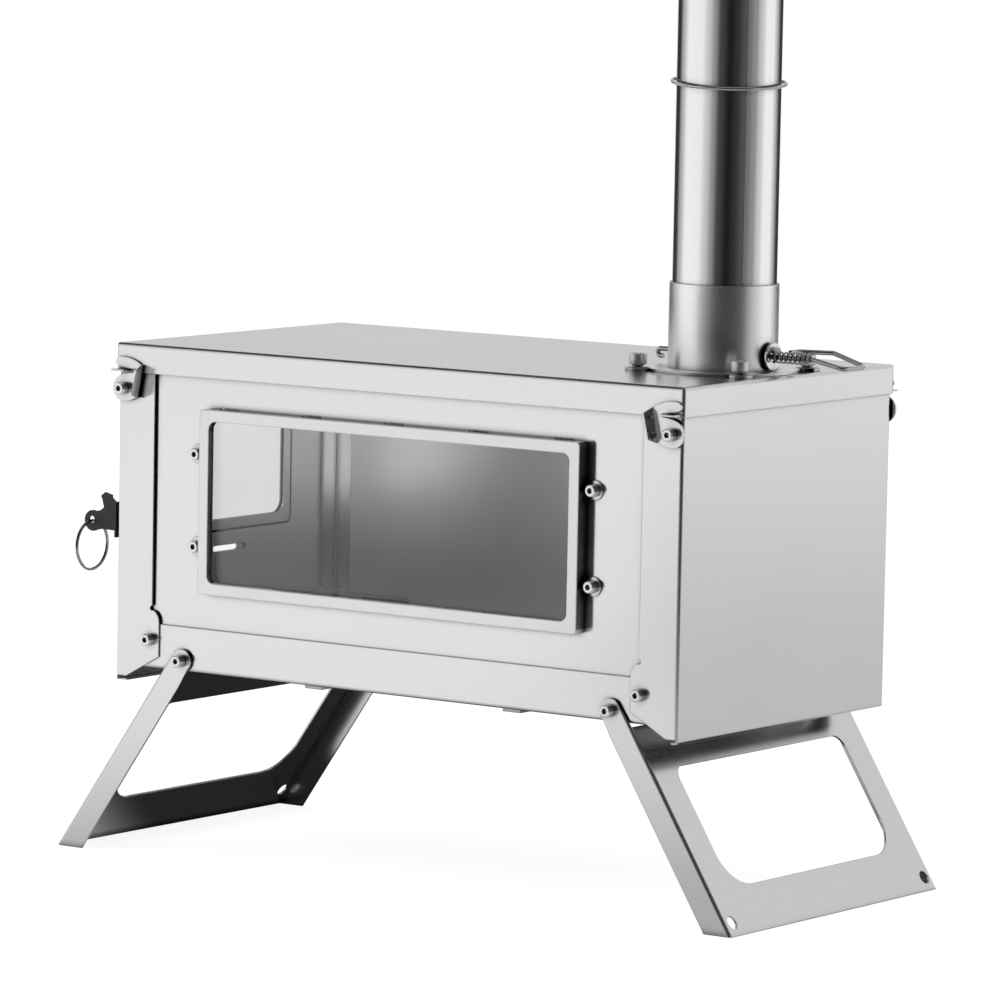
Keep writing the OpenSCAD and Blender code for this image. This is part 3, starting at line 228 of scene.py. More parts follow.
@dataclass(frozen=True)
class Steel:
    """Bare steel whose grain, smudges and roughness vary over the sheet.

    Shade is painted into the colour in creases and on the ground beside other pieces, and
    sharp edges catch the light as though they were rounded.
    """

    name: str
    tone: float
    roughness: float
    spread: float = 0.05
    metallic: float = 1.0
    grain: Grain = Grain.ALONG_X
    grain_scale: float = 2600.0
    grain_share: float = 0.5
    grain_depth: float = 0.12
    grain_height: float = 0.00001
    smudge: float = 0.03
    smudge_scale: float = 9.0
    # painted shade in creases and gaps: darkest level, reach, occlusion range and samples
    crease_shade_level: float = 0.12
    crease_shade_reach: float = 0.005
    crease_shade_range: tuple[float, float] = (0.3, 0.88)
    crease_shade_samples: int = 6
    edge_radius: float = 0.0009
    edge_samples: int = 3

    def build(self) -> bpy.types.Material:
        """Make the material.

        Returns:
            The new material, ready for a material slot.
        """
        material = bpy.data.materials.new(self.name)
        wiring = Wiring(material)
        place = wiring.place()
        stretch = wiring.node("ShaderNodeMapping", {"Vector": place, "Scale": self.grain.value})
        lines = wiring.noise(stretch.outputs["Vector"], self.grain_scale, FINE_DETAIL)
        clouds = wiring.noise(place, self.smudge_scale, CLOUD_DETAIL)
        shader = wiring.nodes["Principled BSDF"].inputs
        wiring.feed(shader["Metallic"], self.metallic)
        wiring.feed(shader["Base Color"], self.tone_with_painted_shade(wiring, clouds))
        wiring.feed(shader["Roughness"], self.worn_roughness(wiring, lines, clouds))
        wiring.feed(shader["Normal"], self.brushed_normal(wiring, lines))
        return material

    def tone_with_painted_shade(self, wiring: Wiring, clouds: Socket) -> Socket:
        """Vary the tone with the smudges, and paint shade into it in creases and gaps.

        Args:
            wiring: The material's nodes.
            clouds: Pattern of the smudges.

        Returns:
            The tone.
        """
        ends = (self.tone - self.smudge, self.tone + self.smudge)
        tone = wiring.span(clouds, PATTERN_RANGE, ends)
        # painted shade: ambient occlusion darkens the colour in creases and gaps
        crease = wiring.node("ShaderNodeAmbientOcclusion", {"Distance": self.crease_shade_reach})
        crease.samples = self.crease_shade_samples
        shade = wiring.span(crease.outputs["AO"], self.crease_shade_range, (self.crease_shade_level, 1.0))
        return wiring.math("MULTIPLY", tone, shade)

    def worn_roughness(self, wiring: Wiring, lines: Socket, clouds: Socket) -> Socket:
        """Vary the roughness with the grain and the smudges.

        Args:
            wiring: The material's nodes.
            lines: Pattern of the grain.
            clouds: Pattern of the smudges.

        Returns:
            The roughness.
        """
        half = wiring.span(clouds, PATTERN_RANGE, (0.0, 1.0 - self.grain_share))
        mixed = wiring.math("MULTIPLY_ADD", lines, self.grain_share, half)
        ends = (self.roughness - self.spread, self.roughness + self.spread)
        return wiring.span(mixed, PATTERN_RANGE, ends)

    def brushed_normal(self, wiring: Wiring, lines: Socket) -> Socket:
        """Raise the grain, over edges that look rounded.

        Args:
            wiring: The material's nodes.
            lines: Pattern of the grain.

        Returns:
            The normal.
        """
        bump = wiring.bump(lines, self.grain_depth, self.grain_height)
        if self.edge_radius > 0.0:
            edge = wiring.node("ShaderNodeBevel", {"Radius": self.edge_radius})
            edge.samples = self.edge_samples
            wiring.feed(bump.inputs["Normal"], edge.outputs["Normal"])
        return bump.outputs["Normal"]


@dataclass(frozen=True)
class BlackLacquer:
    """Thin black finish on stamped steel, with a dull grain."""

    name: str = "black_lacquer"
    level: float = 0.012
    level_range: tuple[float, float] = (0.6, 1.5)
    roughness: float = 0.38
    roughness_range: tuple[float, float] = (-0.06, 0.08)
    speckle_scale: float = 1400.0
    bump_share: float = 0.12
    bump_height: float = 0.0003

    def build(self) -> bpy.types.Material:
        """Make the material.

        Returns:
            The new material, ready for a material slot.
        """
        material = bpy.data.materials.new(self.name)
        wiring = Wiring(material)
        shader = wiring.nodes["Principled BSDF"].inputs
        speckle = wiring.noise(wiring.place(), self.speckle_scale, FINE_DETAIL)
        levels = (self.level * self.level_range[0], self.level * self.level_range[1])
        wiring.feed(shader["Base Color"], wiring.span(speckle, PATTERN_RANGE, levels))
        ends = (self.roughness + self.roughness_range[0], self.roughness + self.roughness_range[1])
        wiring.feed(shader["Roughness"], wiring.span(speckle, PATTERN_RANGE, ends))
        bump = wiring.bump(speckle, self.bump_share, self.bump_height)
        wiring.feed(shader["Normal"], bump.outputs["Normal"])
        return material


@dataclass(frozen=True)
class HeatGlass:
    """Clear heat-proof glass with a faint grey body."""

    name: str
    tint: float
    tint_spread: float = 0.015
    haze: float = 0.008
    haze_scale: float = 14.0
    refraction: float = 1.47

    def build(self) -> bpy.types.Material:
        """Make the material.

        Returns:
            The new material, ready for a material slot.
        """
        material = bpy.data.materials.new(self.name)
        wiring = Wiring(material)
        shader = wiring.nodes["Principled BSDF"].inputs
        wiring.feed(shader["Transmission Weight"], 1.0)
        wiring.feed(shader["IOR"], self.refraction)
        clouds = wiring.noise(wiring.place(), self.haze_scale, FINE_DETAIL)
        ends = (self.tint - self.tint_spread, self.tint + self.tint_spread)
        wiring.feed(shader["Base Color"], wiring.span(clouds, PATTERN_RANGE, ends))
        wiring.feed(shader["Roughness"], wiring.span(clouds, PATTERN_RANGE, (0.0, self.haze)))
        return material


@dataclass(frozen=True)
class WovenGasket:
    """Grey heat-proof rope gasket, woven."""

    name: str = "woven_gasket"
    level: float = 0.10
    level_range: tuple[float, float] = (0.7, 1.4)
    roughness: float = 0.9
    weave_scale: float = 900.0
    bump_share: float = 0.4
    bump_height: float = 0.0003

    def build(self) -> bpy.types.Material:
        """Make the material.

        Returns:
            The new material, ready for a material slot.
        """
        material = bpy.data.materials.new(self.name)
        wiring = Wiring(material)
        shader = wiring.nodes["Principled BSDF"].inputs
        weave = wiring.node(
            "ShaderNodeTexWave", {"Vector": wiring.place(), "Scale": self.weave_scale}
        )
        weave.bands_direction = "DIAGONAL"
        height = weave.outputs["Fac"]
        levels = (self.level * self.level_range[0], self.level * self.level_range[1])
        wiring.feed(shader["Base Color"], wiring.span(height, PATTERN_RANGE, levels))
        wiring.feed(shader["Roughness"], self.roughness)
        bump = wiring.bump(height, self.bump_share, self.bump_height)
        wiring.feed(shader["Normal"], bump.outputs["Normal"])
        return material


Finish = Union[Steel, BlackLacquer, HeatGlass, WovenGasket]

# sheets with a low crease level get a near-black painted shade in their creases
BOX_SHEET = Steel(
    "box_sheet", tone=0.79, roughness=0.16, spread=0.03, smudge=0.012, crease_shade_level=0.02
)
# painted light: the rear panel gets a lighter, partly matt copy of the box sheet, so the inside
# seen through the glass looks lit
BRIGHTENED_INNER_SHEET = Steel(
    "brightened_inner_sheet", tone=0.96, roughness=0.31, spread=0.02, metallic=0.8, grain_depth=0.03,
    smudge=0.01, smudge_scale=14.0,
)
LID_SHEET = Steel(
    "lid_sheet", tone=0.80, roughness=0.18, spread=0.03, smudge=0.012, crease_shade_level=0.02
)
LEG_SHEET = Steel(
    "leg_sheet", tone=0.78, roughness=0.20, spread=0.03, smudge=0.012, grain=Grain.ALONG_Y
)
END_SHEET = Steel(
    "end_sheet", tone=0.79, roughness=0.17, spread=0.03, smudge=0.008, grain=Grain.ALONG_Y
)
FRAME_SHEET = Steel(
    "frame_sheet", tone=0.76, roughness=0.17, spread=0.03, smudge=0.02, smudge_scale=40.0,
    edge_radius=0.0011, crease_shade_reach=0.008, crease_shade_level=0.03, crease_shade_range=(0.5, 0.93),
)
HOOK_SHEET = Steel(
    "hook_sheet", tone=0.76, roughness=0.15, spread=0.03, smudge=0.01, smudge_scale=60.0,
    edge_radius=0.0005,
)
PIPE_STEEL = Steel(
    "pipe_steel", tone=0.90, roughness=0.13, spread=0.02, smudge=0.01, grain=Grain.ALONG_Z,
    edge_radius=0.0003,
)
COLLAR_STEEL = Steel(
    "collar_steel", tone=0.98, roughness=0.29, spread=0.03, smudge=0.015, grain_depth=0.3,
    edge_radius=0.0004,
)
KNURLED_STEEL = Steel(
    "knurled_steel", tone=0.88, roughness=0.42, spread=0.04, smudge=0.03, grain=Grain.TURNED,
    edge_radius=0.0,
)
TURNED_STEEL = Steel(
    "turned_steel", tone=0.86, roughness=0.16, spread=0.03, grain=Grain.TURNED, smudge_scale=200.0
)
WIRE_STEEL = Steel(
    "wire_steel", tone=0.52, roughness=0.16, spread=0.03, smudge=0.04, grain=Grain.TURNED,
    smudge_scale=220.0, edge_radius=0.0,
)
MILL_STEEL = Steel(
    "mill_steel", tone=0.5, roughness=0.34, spread=0.06, smudge=0.05, grain=Grain.TURNED,
    smudge_scale=70.0,
)
SCORCHED_STEEL = Steel(
    "scorched_steel", tone=0.42, roughness=0.42, spread=0.06, smudge=0.08, grain=Grain.TURNED,
    smudge_scale=30.0,
)

FINISH_OF_NODE: dict[str, Finish] = {
    "bottom_tray": BOX_SHEET,
    "front_panel": BOX_SHEET,
    # the rear panel's sheet is lightened to paint light inside the box
    "rear_panel": BRIGHTENED_INNER_SHEET,
    "door_end_panel": END_SHEET,
    "right_end_panel": END_SHEET,
    "door_panel": END_SHEET,
    "door_glass_ring": END_SHEET,
    "air_guides": END_SHEET,
    "air_slide": END_SHEET,
    "lid": LID_SHEET,
    "leg_left": LEG_SHEET,
    "leg_right": LEG_SHEET,
    "window_frame": FRAME_SHEET,
    "chimney_pipe": PIPE_STEEL,
    "flue_collar": COLLAR_STEEL,
    "pipe_hoop": WIRE_STEEL,
    "damper_rod": WIRE_STEEL,
    "damper_spring": WIRE_STEEL,
    "split_ring": WIRE_STEEL,
    "under_rails": MILL_STEEL,
    "collar_studs": MILL_STEEL,
    "clamp_nuts": MILL_STEEL,
    "door_hinge_brackets": MILL_STEEL,
    "latch_catch": MILL_STEEL,
    "fire_grate": SCORCHED_STEEL,
    "damper_plate": SCORCHED_STEEL,
    "window_glass": HeatGlass("window_glass", 0.88),
    "door_glass": HeatGlass("door_glass", 0.78),
    "window_gasket": WovenGasket(),
    "latch_lever": BlackLacquer(),
    "latch_bracket": BlackLacquer(),
}


class Dresser:
    """Gives every node of the model its finish."""

    def __init__(self) -> None:
        """Start with no material made."""
        self.made: dict[str, bpy.types.Material] = {}

    def material(self, finish: Finish) -> bpy.types.Material:
        """Make a finish's material once.

        Args:
            finish: One of the finish dataclasses.

        Returns:
            The material, shared by all that use the finish.
        """
        if finish.name not in self.made:
            self.made[finish.name] = finish.build()
        return self.made[finish.name]

    def dress(self, piece: bpy.types.Object, finish: Finish) -> None:
        """Put one finish all over a piece.

        Args:
            piece: A mesh object.
            finish: One of the finish dataclasses.
        """
        material = self.material(finish)
        if not piece.material_slots:
            piece.data.materials.append(material)
        for slot in piece.material_slots:
            slot.material = material

    def dress_nodes(self) -> None:
        """Dress every node, with turned steel where no other finish is named."""
        for name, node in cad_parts.items():
            finish = FINISH_OF_NODE.get(name, TURNED_STEEL)
            self.dress(node, finish)
            log.info("node %s wears %s", name, finish.name)


@dataclass
class Studio:
    """Camera, surroundings, lamps and floor of a plain white studio, in metres and degrees.

    Steel mirrors its surroundings: a ring of soft boxes and dark gaps at eye level, a dome that
    is dark overhead and on the camera's side, and a paper sweep on the ground with the stove's
    shadow painted under it. The camera itself sees plain white there.
    """

    camera_place: Triple = (2.1522, -3.0506, 0.6166)
    yaw: float = math.radians(35.206)
    pitch: float = math.radians(6.112)
    roll: float = math.radians(1.096)
    focal_px: float = 6426.7
    picture_px: float = 1000.0
    sensor: float = 36.0
    sight: float = 100.0

    matt_level: float = 0.62
    glass_return: float = 0.95
    dark_side: float = -4.0
    dark_inner: float = 45.0
    dark_outer: float = 59.0
    dark_wall: float = 0.09
    dark_paper: float = 0.02

    floor_radius: float = 20.0
    floor_level: float = 0.9
    floor_roughness: float = 0.9
    floor_glow: float = 1.2
    floor_share: float = 0.74

    sweep_radius: float = 3.0
    disc_sides: int = 96
    # painted shadow of the stove on the mirrored sweep: half size, shift back, soft edge and level
    shadow_patch_half: tuple[float, float] = (0.36, 0.16)
    shadow_patch_back: float = 0.05
    shadow_patch_edge: tuple[float, float] = (0.75, 1.35)
    shadow_patch_level: float = 0.04
    paper_near: tuple[float, float] = (0.8, 1.4)

    lamps: tuple[tuple[str, Triple, float, float], ...] = (
        ("key_lamp", (-1.4, -1.8, 1.9), 1.6, 26.0),
        ("fill_lamp", (1.9, 0.6, 1.6), 1.4, 12.0),
    )
    lamp_aim: Triple = (0.0, 0.0, 0.2)

    # metres from the stove, falling towards what the front mirrors and rising towards what the
    # right end mirrors, and grey level of the paper
    sweep_stops: Pairs = ((-3.0, 1.0), (-0.9, 0.96), (0.0, 0.5), (0.9, 0.62), (3.0, 0.82))
    # sine of the height, as a share from straight down to straight up, and grey level there
    dome_stops: Pairs = (
        (0.0, 0.6), (0.5, 0.58), (0.55, 0.58), (0.62, 0.68), (0.76, 0.75), (0.8, 0.1),
        (0.84, 0.02), (0.9, 0.03), (0.96, 0.4), (1.0, 0.45),
    )
    # the same places, and the dome's share over the ring
    rise_stops: Pairs = ((0.0, 1.0), (0.33, 1.0), (0.42, 0.0), (0.5, 0.0), (0.55, 1.0), (1.0, 1.0))
    # degrees around from the camera's side, and grey level of the ring
    round_stops: Pairs = (
        (-180.0, 1.0), (-168.0, 0.9), (-158.0, 0.03), (-138.0, 0.03), (-122.0, 0.45),
        (-100.0, 0.95), (-65.0, 0.92), (-48.0, 0.62), (-34.0, 0.30), (-22.0, 0.06), (0.0, 0.01),
        (14.0, 0.03), (34.0, 0.09), (56.0, 0.28), (74.0, 0.62), (88.0, 0.95), (112.0, 0.92),
        (128.0, 0.35), (140.0, 0.04), (158.0, 0.03), (168.0, 0.9), (180.0, 1.0),
    )

    def build(self) -> None:
        """Set up the whole studio."""
        self.add_camera()
        self.add_surroundings()
        self.add_lamps()
        self.add_floor()
        self.add_sweep()
        bpy.context.scene.view_settings.view_transform = "Standard"

    def add_camera(self) -> None:
        """Stand the camera where the photograph was taken from."""
        data = bpy.data.cameras.new("studio_camera")
        data.sensor_width = self.sensor
        data.lens = self.focal_px * self.sensor / self.picture_px
        data.clip_end = self.sight
        camera = bpy.data.objects.new("studio_camera", data)
        bpy.context.scene.collection.objects.link(camera)
        ahead = Vector((
            -math.sin(self.yaw) * math.cos(self.pitch),
            math.cos(self.yaw) * math.cos(self.pitch),
            -math.sin(self.pitch),
        ))
        level = Vector((math.cos(self.yaw), math.sin(self.yaw), 0.0))
        above = level.cross(ahead)
        right = level * math.cos(self.roll) + above * math.sin(self.roll)
        up = above * math.cos(self.roll) - level * math.sin(self.roll)
        turn = Matrix((right, up, -ahead)).transposed().to_4x4()
        camera.matrix_world = Matrix.Translation(self.camera_place) @ turn
        bpy.context.scene.camera = camera

    def add_surroundings(self) -> None:
        """Surround the stove: white for the camera, soft boxes and gaps for the steel."""
        world = bpy.data.worlds.new("studio_world")
        bpy.context.scene.world = world
        wiring = Wiring(world)
        wiring.nodes.clear()
        mirrored = wiring.node("ShaderNodeBackground", {"Color": self.mirrored_light(wiring)})
        soft = wiring.node("ShaderNodeBackground", {"Color": grey(self.matt_level)})
        white = wiring.node("ShaderNodeBackground", {"Color": grey(1.0)})
        path = wiring.nodes.new("ShaderNodeLightPath")
        matt = self.blend(wiring, path.outputs["Is Diffuse Ray"], mirrored, soft)
        final = self.blend(wiring, self.seen_straight(wiring, path), matt, white)
        wiring.node("ShaderNodeOutputWorld", {"Surface": final.outputs[0]})

    def mirrored_light(self, wiring: Wiring) -> Socket:
        """Add the light that steel mirrors, by its direction.

        Args:
            wiring: The world's nodes.

        Returns:
            The grey of that light.
        """
        turned = wiring.nodes.new("ShaderNodeVectorRotate")
        turned.rotation_type = "Z_AXIS"
        wiring.feed(turned.inputs["Angle"], math.pi - self.yaw)
        direction = wiring.nodes.new("ShaderNodeTexCoord").outputs["Generated"]
        wiring.feed(turned.inputs["Vector"], direction)
        heading = turned.outputs["Vector"]
        parts = wiring.node("ShaderNodeSeparateXYZ", {"Vector": heading}).outputs
        flipped = wiring.math("MULTIPLY", parts["X"], -1.0)
        angle = wiring.math("ARCTAN2", flipped, parts["Y"])
        around = wiring.span(angle, (-math.pi, math.pi))
        ring = wiring.ramp(around, [((turn + 180.0) / 360.0, v) for turn, v in self.round_stops])
        height = wiring.span(parts["Z"], (-1.0, 1.0))
        rise = wiring.ramp(height, self.rise_stops)
        side = math.radians(self.dark_side)
        hole = self.dark_hole(wiring, heading, (-math.sin(side), math.cos(side)), self.dark_wall)
        darkened = wiring.vector("SCALE", wiring.ramp(height, self.dome_stops))
        wiring.feed(darkened.inputs["Scale"], hole)
        mixed = wiring.nodes.new("ShaderNodeMix")
        mixed.data_type = "RGBA"
        wiring.feed(mixed.inputs["Factor"], rise)
        wiring.feed(mixed.inputs[MIX_FIRST], ring)
        wiring.feed(mixed.inputs[MIX_SECOND], darkened.outputs["Vector"])
        return mixed.outputs[MIX_RESULT]

    def dark_hole(
        self, wiring: Wiring, heading: Socket, side: tuple[float, float], level: float
    ) -> Socket:
        """Darken the side where the camera stands.

        Args:
            wiring: Nodes of the world or material.
            heading: Direction that is looked at.
            side: Level direction of the middle of the dark side.
            level: Strength that is left there.

        Returns:
            The strength in that direction.
        """
        facing = wiring.vector("DOT_PRODUCT", heading, (side[0], side[1], 0.0))
        ends = (math.cos(math.radians(self.dark_outer)), math.cos(math.radians(self.dark_inner)))
        return wiring.span(facing.outputs["Value"], ends, (1.0, level), "SMOOTHSTEP")

    def seen_straight(self, wiring: Wiring, path: bpy.types.Node) -> Socket:
        """Tell apart what the camera sees straight, or only through glass.

        Args:
            wiring: Nodes of the world or material.
            path: The light path node.

        Returns:
            One for such rays, less for those that come back out through glass, else zero.
        """
        ray = path.outputs
        bounced = wiring.math("ADD", ray["Glossy Depth"], ray["Diffuse Depth"])
        straight = wiring.math("LESS_THAN", bounced, 0.5)
        seen = wiring.math("MAXIMUM", ray["Is Camera Ray"], ray["Is Transmission Ray"])
        through = wiring.math("MAXIMUM", straight, self.glass_return)
        return wiring.math("MULTIPLY", through, seen)

    @staticmethod
    def blend(
        wiring: Wiring, share: Socket, first: bpy.types.Node, second: bpy.types.Node
    ) -> bpy.types.Node:
        """Mix two shaders.

        Args:
            wiring: Nodes of the world or material.
            share: Share of the second.
            first: Shader at no share.
            second: Shader at the full share.

        Returns:
            The mixing node.
        """
        inputs = {"Fac": share, 1: first.outputs[0], 2: second.outputs[0]}
        return wiring.node("ShaderNodeMixShader", inputs)

    def add_lamps(self) -> None:
        """Hang one large soft lamp on each side, which steel does not mirror."""
        for name, place, size, power in self.lamps:
            data = bpy.data.lights.new(name, "AREA")
            data.size = size
            data.energy = power
            lamp = bpy.data.objects.new(name, data)
            bpy.context.scene.collection.objects.link(lamp)
            lamp.location = place
            aim = Vector(self.lamp_aim) - Vector(place)
            lamp.rotation_euler = aim.to_track_quat("-Z", "Y").to_euler()
            lamp.visible_glossy = False

    def add_floor(self) -> None:
        """Lay a round pale floor that keeps the stove's soft shadow."""
        floor = self.disc("studio_floor", self.floor_radius)
        wiring = Wiring(floor.data.materials[0])
        paper = wiring.nodes["Principled BSDF"]
        wiring.feed(paper.inputs["Base Color"], grey(self.floor_level))
        wiring.feed(paper.inputs["Roughness"], self.floor_roughness)
        wiring.feed(paper.inputs["Specular IOR Level"], 0.0)
        glow = wiring.node(
            "ShaderNodeEmission", {"Color": grey(1.0), "Strength": self.floor_glow}
        )
        path = wiring.nodes.new("ShaderNodeLightPath")
        share = wiring.math("MULTIPLY", self.seen_straight(wiring, path), self.floor_share)
        final = self.blend(wiring, share, paper, glow)
        wiring.feed(wiring.nodes["Material Output"].inputs["Surface"], final.outputs[0])
        floor.visible_glossy = False

    def add_sweep(self) -> None:
        """Lay the paper sweep that only the steel mirrors, with a painted shadow under the stove.
        """
        sweep = self.disc("studio_sweep", self.sweep_radius)
        wiring = Wiring(sweep.data.materials[0])
        place = wiring.place()
        strength = wiring.math(
            "MULTIPLY", self.painted_shadow_strength(wiring, place), self.paper_strength(wiring, place)
        )
        glow = wiring.node(
            "ShaderNodeEmission", {"Color": self.paper_grey(wiring, place), "Strength": strength}
        )
        wiring.feed(wiring.nodes["Material Output"].inputs["Surface"], glow.outputs[0])
        sweep.visible_camera = False
        sweep.visible_diffuse = False
        sweep.visible_transmission = False
        sweep.visible_shadow = False

    def paper_grey(self, wiring: Wiring, place: Socket) -> Socket:
        """Shade the sweep from what the front mirrors to what the right end mirrors.

        Args:
            wiring: The sweep's nodes.
            place: Its own coordinates.

        Returns:
            The grey of the paper.
        """
        mirrored = (math.sin(self.yaw), math.cos(self.yaw), 0.0)
        along = wiring.vector("DOT_PRODUCT", place, mirrored).outputs["Value"]
        reach = self.sweep_radius
        stops = [((metres + reach) / (2.0 * reach), level) for metres, level in self.sweep_stops]
        return wiring.ramp(wiring.span(along, (-reach, reach)), stops)

    def painted_shadow_strength(self, wiring: Wiring, place: Socket) -> Socket:
        """Paint the stove's shadow as a dark oval patch under the stove.

        Args:
            wiring: The sweep's nodes.
            place: Its own coordinates.

        Returns:
            The strength of the paper's light there.
        """
        # painted shadow: an oval under the stove where the paper's light is dimmed
        half_x, half_y = self.shadow_patch_half
        narrowed = wiring.vector(
            "MULTIPLY_ADD",
            place,
            (1.0 / half_x, 1.0 / half_y, 1.0),
            (0.0, -self.shadow_patch_back / half_y, 0.0),
        )
        away = wiring.vector("LENGTH", narrowed.outputs["Vector"]).outputs["Value"]
        return wiring.span(away, self.shadow_patch_edge, (self.shadow_patch_level, 1.0), "SMOOTHSTEP")

    def paper_strength(self, wiring: Wiring, place: Socket) -> Socket:
        """Darken the far paper on the camera's side, and leave it clear near the stove.

        Args:
            wiring: The sweep's nodes.
            place: Its own coordinates.

        Returns:
            The strength of the paper's light there.
        """
        heading = wiring.vector("NORMALIZE", place).outputs["Vector"]
        turn = self.yaw - math.pi / 2.0 + math.radians(self.dark_side)
        side = (math.cos(turn), math.sin(turn))
        hole = self.dark_hole(wiring, heading, side, self.dark_paper)
        gone = wiring.vector("LENGTH", place).outputs["Value"]
        near = wiring.span(gone, self.paper_near, (1.0, 0.0), "SMOOTHSTEP")
        return wiring.math("MAXIMUM", near, hole)

    def disc(self, name: str, radius: float) -> bpy.types.Object:
        """Lay a flat round sheet on the ground.

        Args:
            name: Name of the sheet and its material.
            radius: Its radius in metres.

        Returns:
            The sheet, with one new material.
        """
        bpy.ops.object.select_all(action="DESELECT")
        bpy.ops.mesh.primitive_circle_add(
            vertices=self.disc_sides, radius=radius, fill_type="NGON"
        )
        sheet = bpy.context.active_object
        sheet.name = name
        sheet.data.materials.append(bpy.data.materials.new(name))
        return sheet


@dataclass
class Bench:
    """Edit-mode steps that the modelled pieces share, in metres."""

    smooth_angle: float = math.radians(40.0)
    seed_size: float = 0.001
    merge_reach: float = 0.000005
    wire_sides: int = 16
    bend_room: float = 0.45
    bend_step: float = math.radians(9.0)
    least_steps: int = 3
    coil_sides: int = 12
    coil_steps: int = 40
    coil_merge: float = 0.000001

    def wire(
        self, name: str, points: list[Vector], radius: float, bend: float
    ) -> bpy.types.Object:
        """Bend one length of round wire along a path.

        Args:
            name: Name of the piece.
            points: Corners of the path, in metres.
            radius: Radius of the wire.
            bend: Radius that each corner is bent to, where there is room.

        Returns:
            The closed wire.
        """
        heading = (points[1] - points[0]).normalized()
        bpy.ops.object.select_all(action="DESELECT")
        turn = heading.to_track_quat("Z", "Y").to_euler()
        bpy.ops.mesh.primitive_circle_add(
            vertices=self.wire_sides,
            radius=radius,
            fill_type="NGON",
            location=points[0],
            rotation=turn,
        )
        piece = bpy.context.active_object
        bpy.ops.object.transform_apply(location=True, rotation=True, scale=True)
        bpy.ops.object.mode_set(mode="EDIT")
        bpy.ops.mesh.select_all(action="SELECT")
        at = points[0].copy()
        for before, corner, after in zip(points, points[1:], points[2:]):
            inward, outward = (corner - before).normalized(), (after - corner).normalized()
            angle = inward.angle(outward)
            slope = math.tan(angle / 2.0)
            room = self.bend_room * min((corner - before).length, (after - corner).length)
            size = min(bend, room / slope)
            cut = size * slope
            start = corner - inward * cut
            bpy.ops.mesh.extrude_region_move(TRANSFORM_OT_translate={"value": start - at})
            side = (outward - inward * inward.dot(outward)).normalized()
            bpy.ops.mesh.spin(
                steps=max(self.least_steps, math.ceil(angle / self.bend_step)),
                angle=-angle,
                center=start + side * size,
                axis=inward.cross(outward).normalized(),
            )
            at = corner + outward * cut
        bpy.ops.mesh.extrude_region_move(TRANSFORM_OT_translate={"value": points[-1] - at})
        return self.finish(piece, name)

    def coil(
        self,
        name: str,
        size: float,
        section: tuple[float, float],
        pitch: float,
        turns: float,
        place: Matrix,
    ) -> bpy.types.Object:
        """Wind a coil of wire and stand it in its place.

        Args:
            name: Name of the piece.
            size: Radius from the coil's axis to the middle of the wire.
            section: Half width of the wire across and along the axis.
            pitch: Travel along the axis with each turn.
            turns: Number of turns.
            place: Place of the coil, whose axis is its own Z.

        Returns:
            The closed coil.
        """
        bpy.ops.object.select_all(action="DESELECT")
        bpy.ops.mesh.primitive_circle_add(
            vertices=self.coil_sides,
            radius=1.0,
            location=(size, 0.0, 0.0),
            rotation=(math.pi / 2.0, 0.0, 0.0),
        )
        piece = bpy.context.active_object
        piece.scale = (section[0], section[1], 1.0)
        bpy.ops.object.transform_apply(location=True, rotation=True, scale=True)
        rounds = math.ceil(turns)
        winding = piece.modifiers.new("winding", "SCREW")
        winding.angle = math.tau * turns / rounds
        winding.iterations = rounds
        winding.screw_offset = pitch * turns / rounds
        winding.steps = winding.render_steps = self.coil_steps
        bpy.ops.object.modifier_apply(modifier="winding")
        piece.matrix_world = place @ Matrix.Translation((0.0, 0.0, -pitch * turns / 2.0))
        bpy.ops.object.transform_apply(location=True, rotation=True, scale=True)
        bpy.ops.object.mode_set(mode="EDIT")
        bpy.ops.mesh.select_all(action="SELECT")
        bpy.ops.mesh.remove_doubles(threshold=self.coil_merge)
        bpy.ops.mesh.fill_holes(sides=0)
        return self.finish(piece, name)

    def trace(self, corners: list[Vector]) -> bpy.types.Object:
        """Draw a line of edges.

        Args:
            corners: Its corners in order, in metres.

        Returns:
            The line, in edit mode.
        """
        bpy.ops.object.select_all(action="DESELECT")
        bpy.ops.mesh.primitive_plane_add(size=self.seed_size)
        piece = bpy.context.active_object
        bpy.ops.object.mode_set(mode="EDIT")
        bpy.ops.mesh.select_all(action="SELECT")
        bpy.ops.mesh.merge(type="CENTER")
        bpy.ops.transform.translate(value=corners[0])
        for before, after in zip(corners, corners[1:]):
            bpy.ops.mesh.extrude_vertices_move(TRANSFORM_OT_translate={"value": after - before})
        return piece

    def turned(
        self, name: str, profile: list[tuple[float, float]], place: Vector, steps: int
    ) -> bpy.types.Object:
        """Turn a piece from its profile about an upright axis.

        Args:
            name: Name of the piece.
            profile: Radius and height of each corner, in metres, from axis to axis.
            place: Foot of the axis.
            steps: Steps around.

        Returns:
            The closed piece.
        """
        piece = self.trace([place + Vector((radius, 0.0, height)) for radius, height in profile])
        bpy.ops.mesh.select_all(action="SELECT")
        bpy.ops.mesh.spin(steps=steps, angle=math.tau, center=place, axis=(0.0, 0.0, 1.0))
        bpy.ops.mesh.select_all(action="SELECT")
        bpy.ops.mesh.remove_doubles(threshold=self.merge_reach)
        return self.finish(piece, name)

    @staticmethod
    def copy(first: bpy.types.Object, name: str, move: Matrix) -> bpy.types.Object:
        """Copy a finished piece with a mesh of its own, and move that mesh.

        Args:
            first: The piece.
            name: Name of the copy.
            move: The move, which may mirror.

        Returns:
            The copy, with its faces outward.
        """
        piece = first.copy()
        piece.data = first.data.copy()
        bpy.context.scene.collection.objects.link(piece)
        piece.data.transform(move)
        if move.determinant() < 0.0:
            piece.data.flip_normals()
        piece.name = piece.data.name = name
        return piece

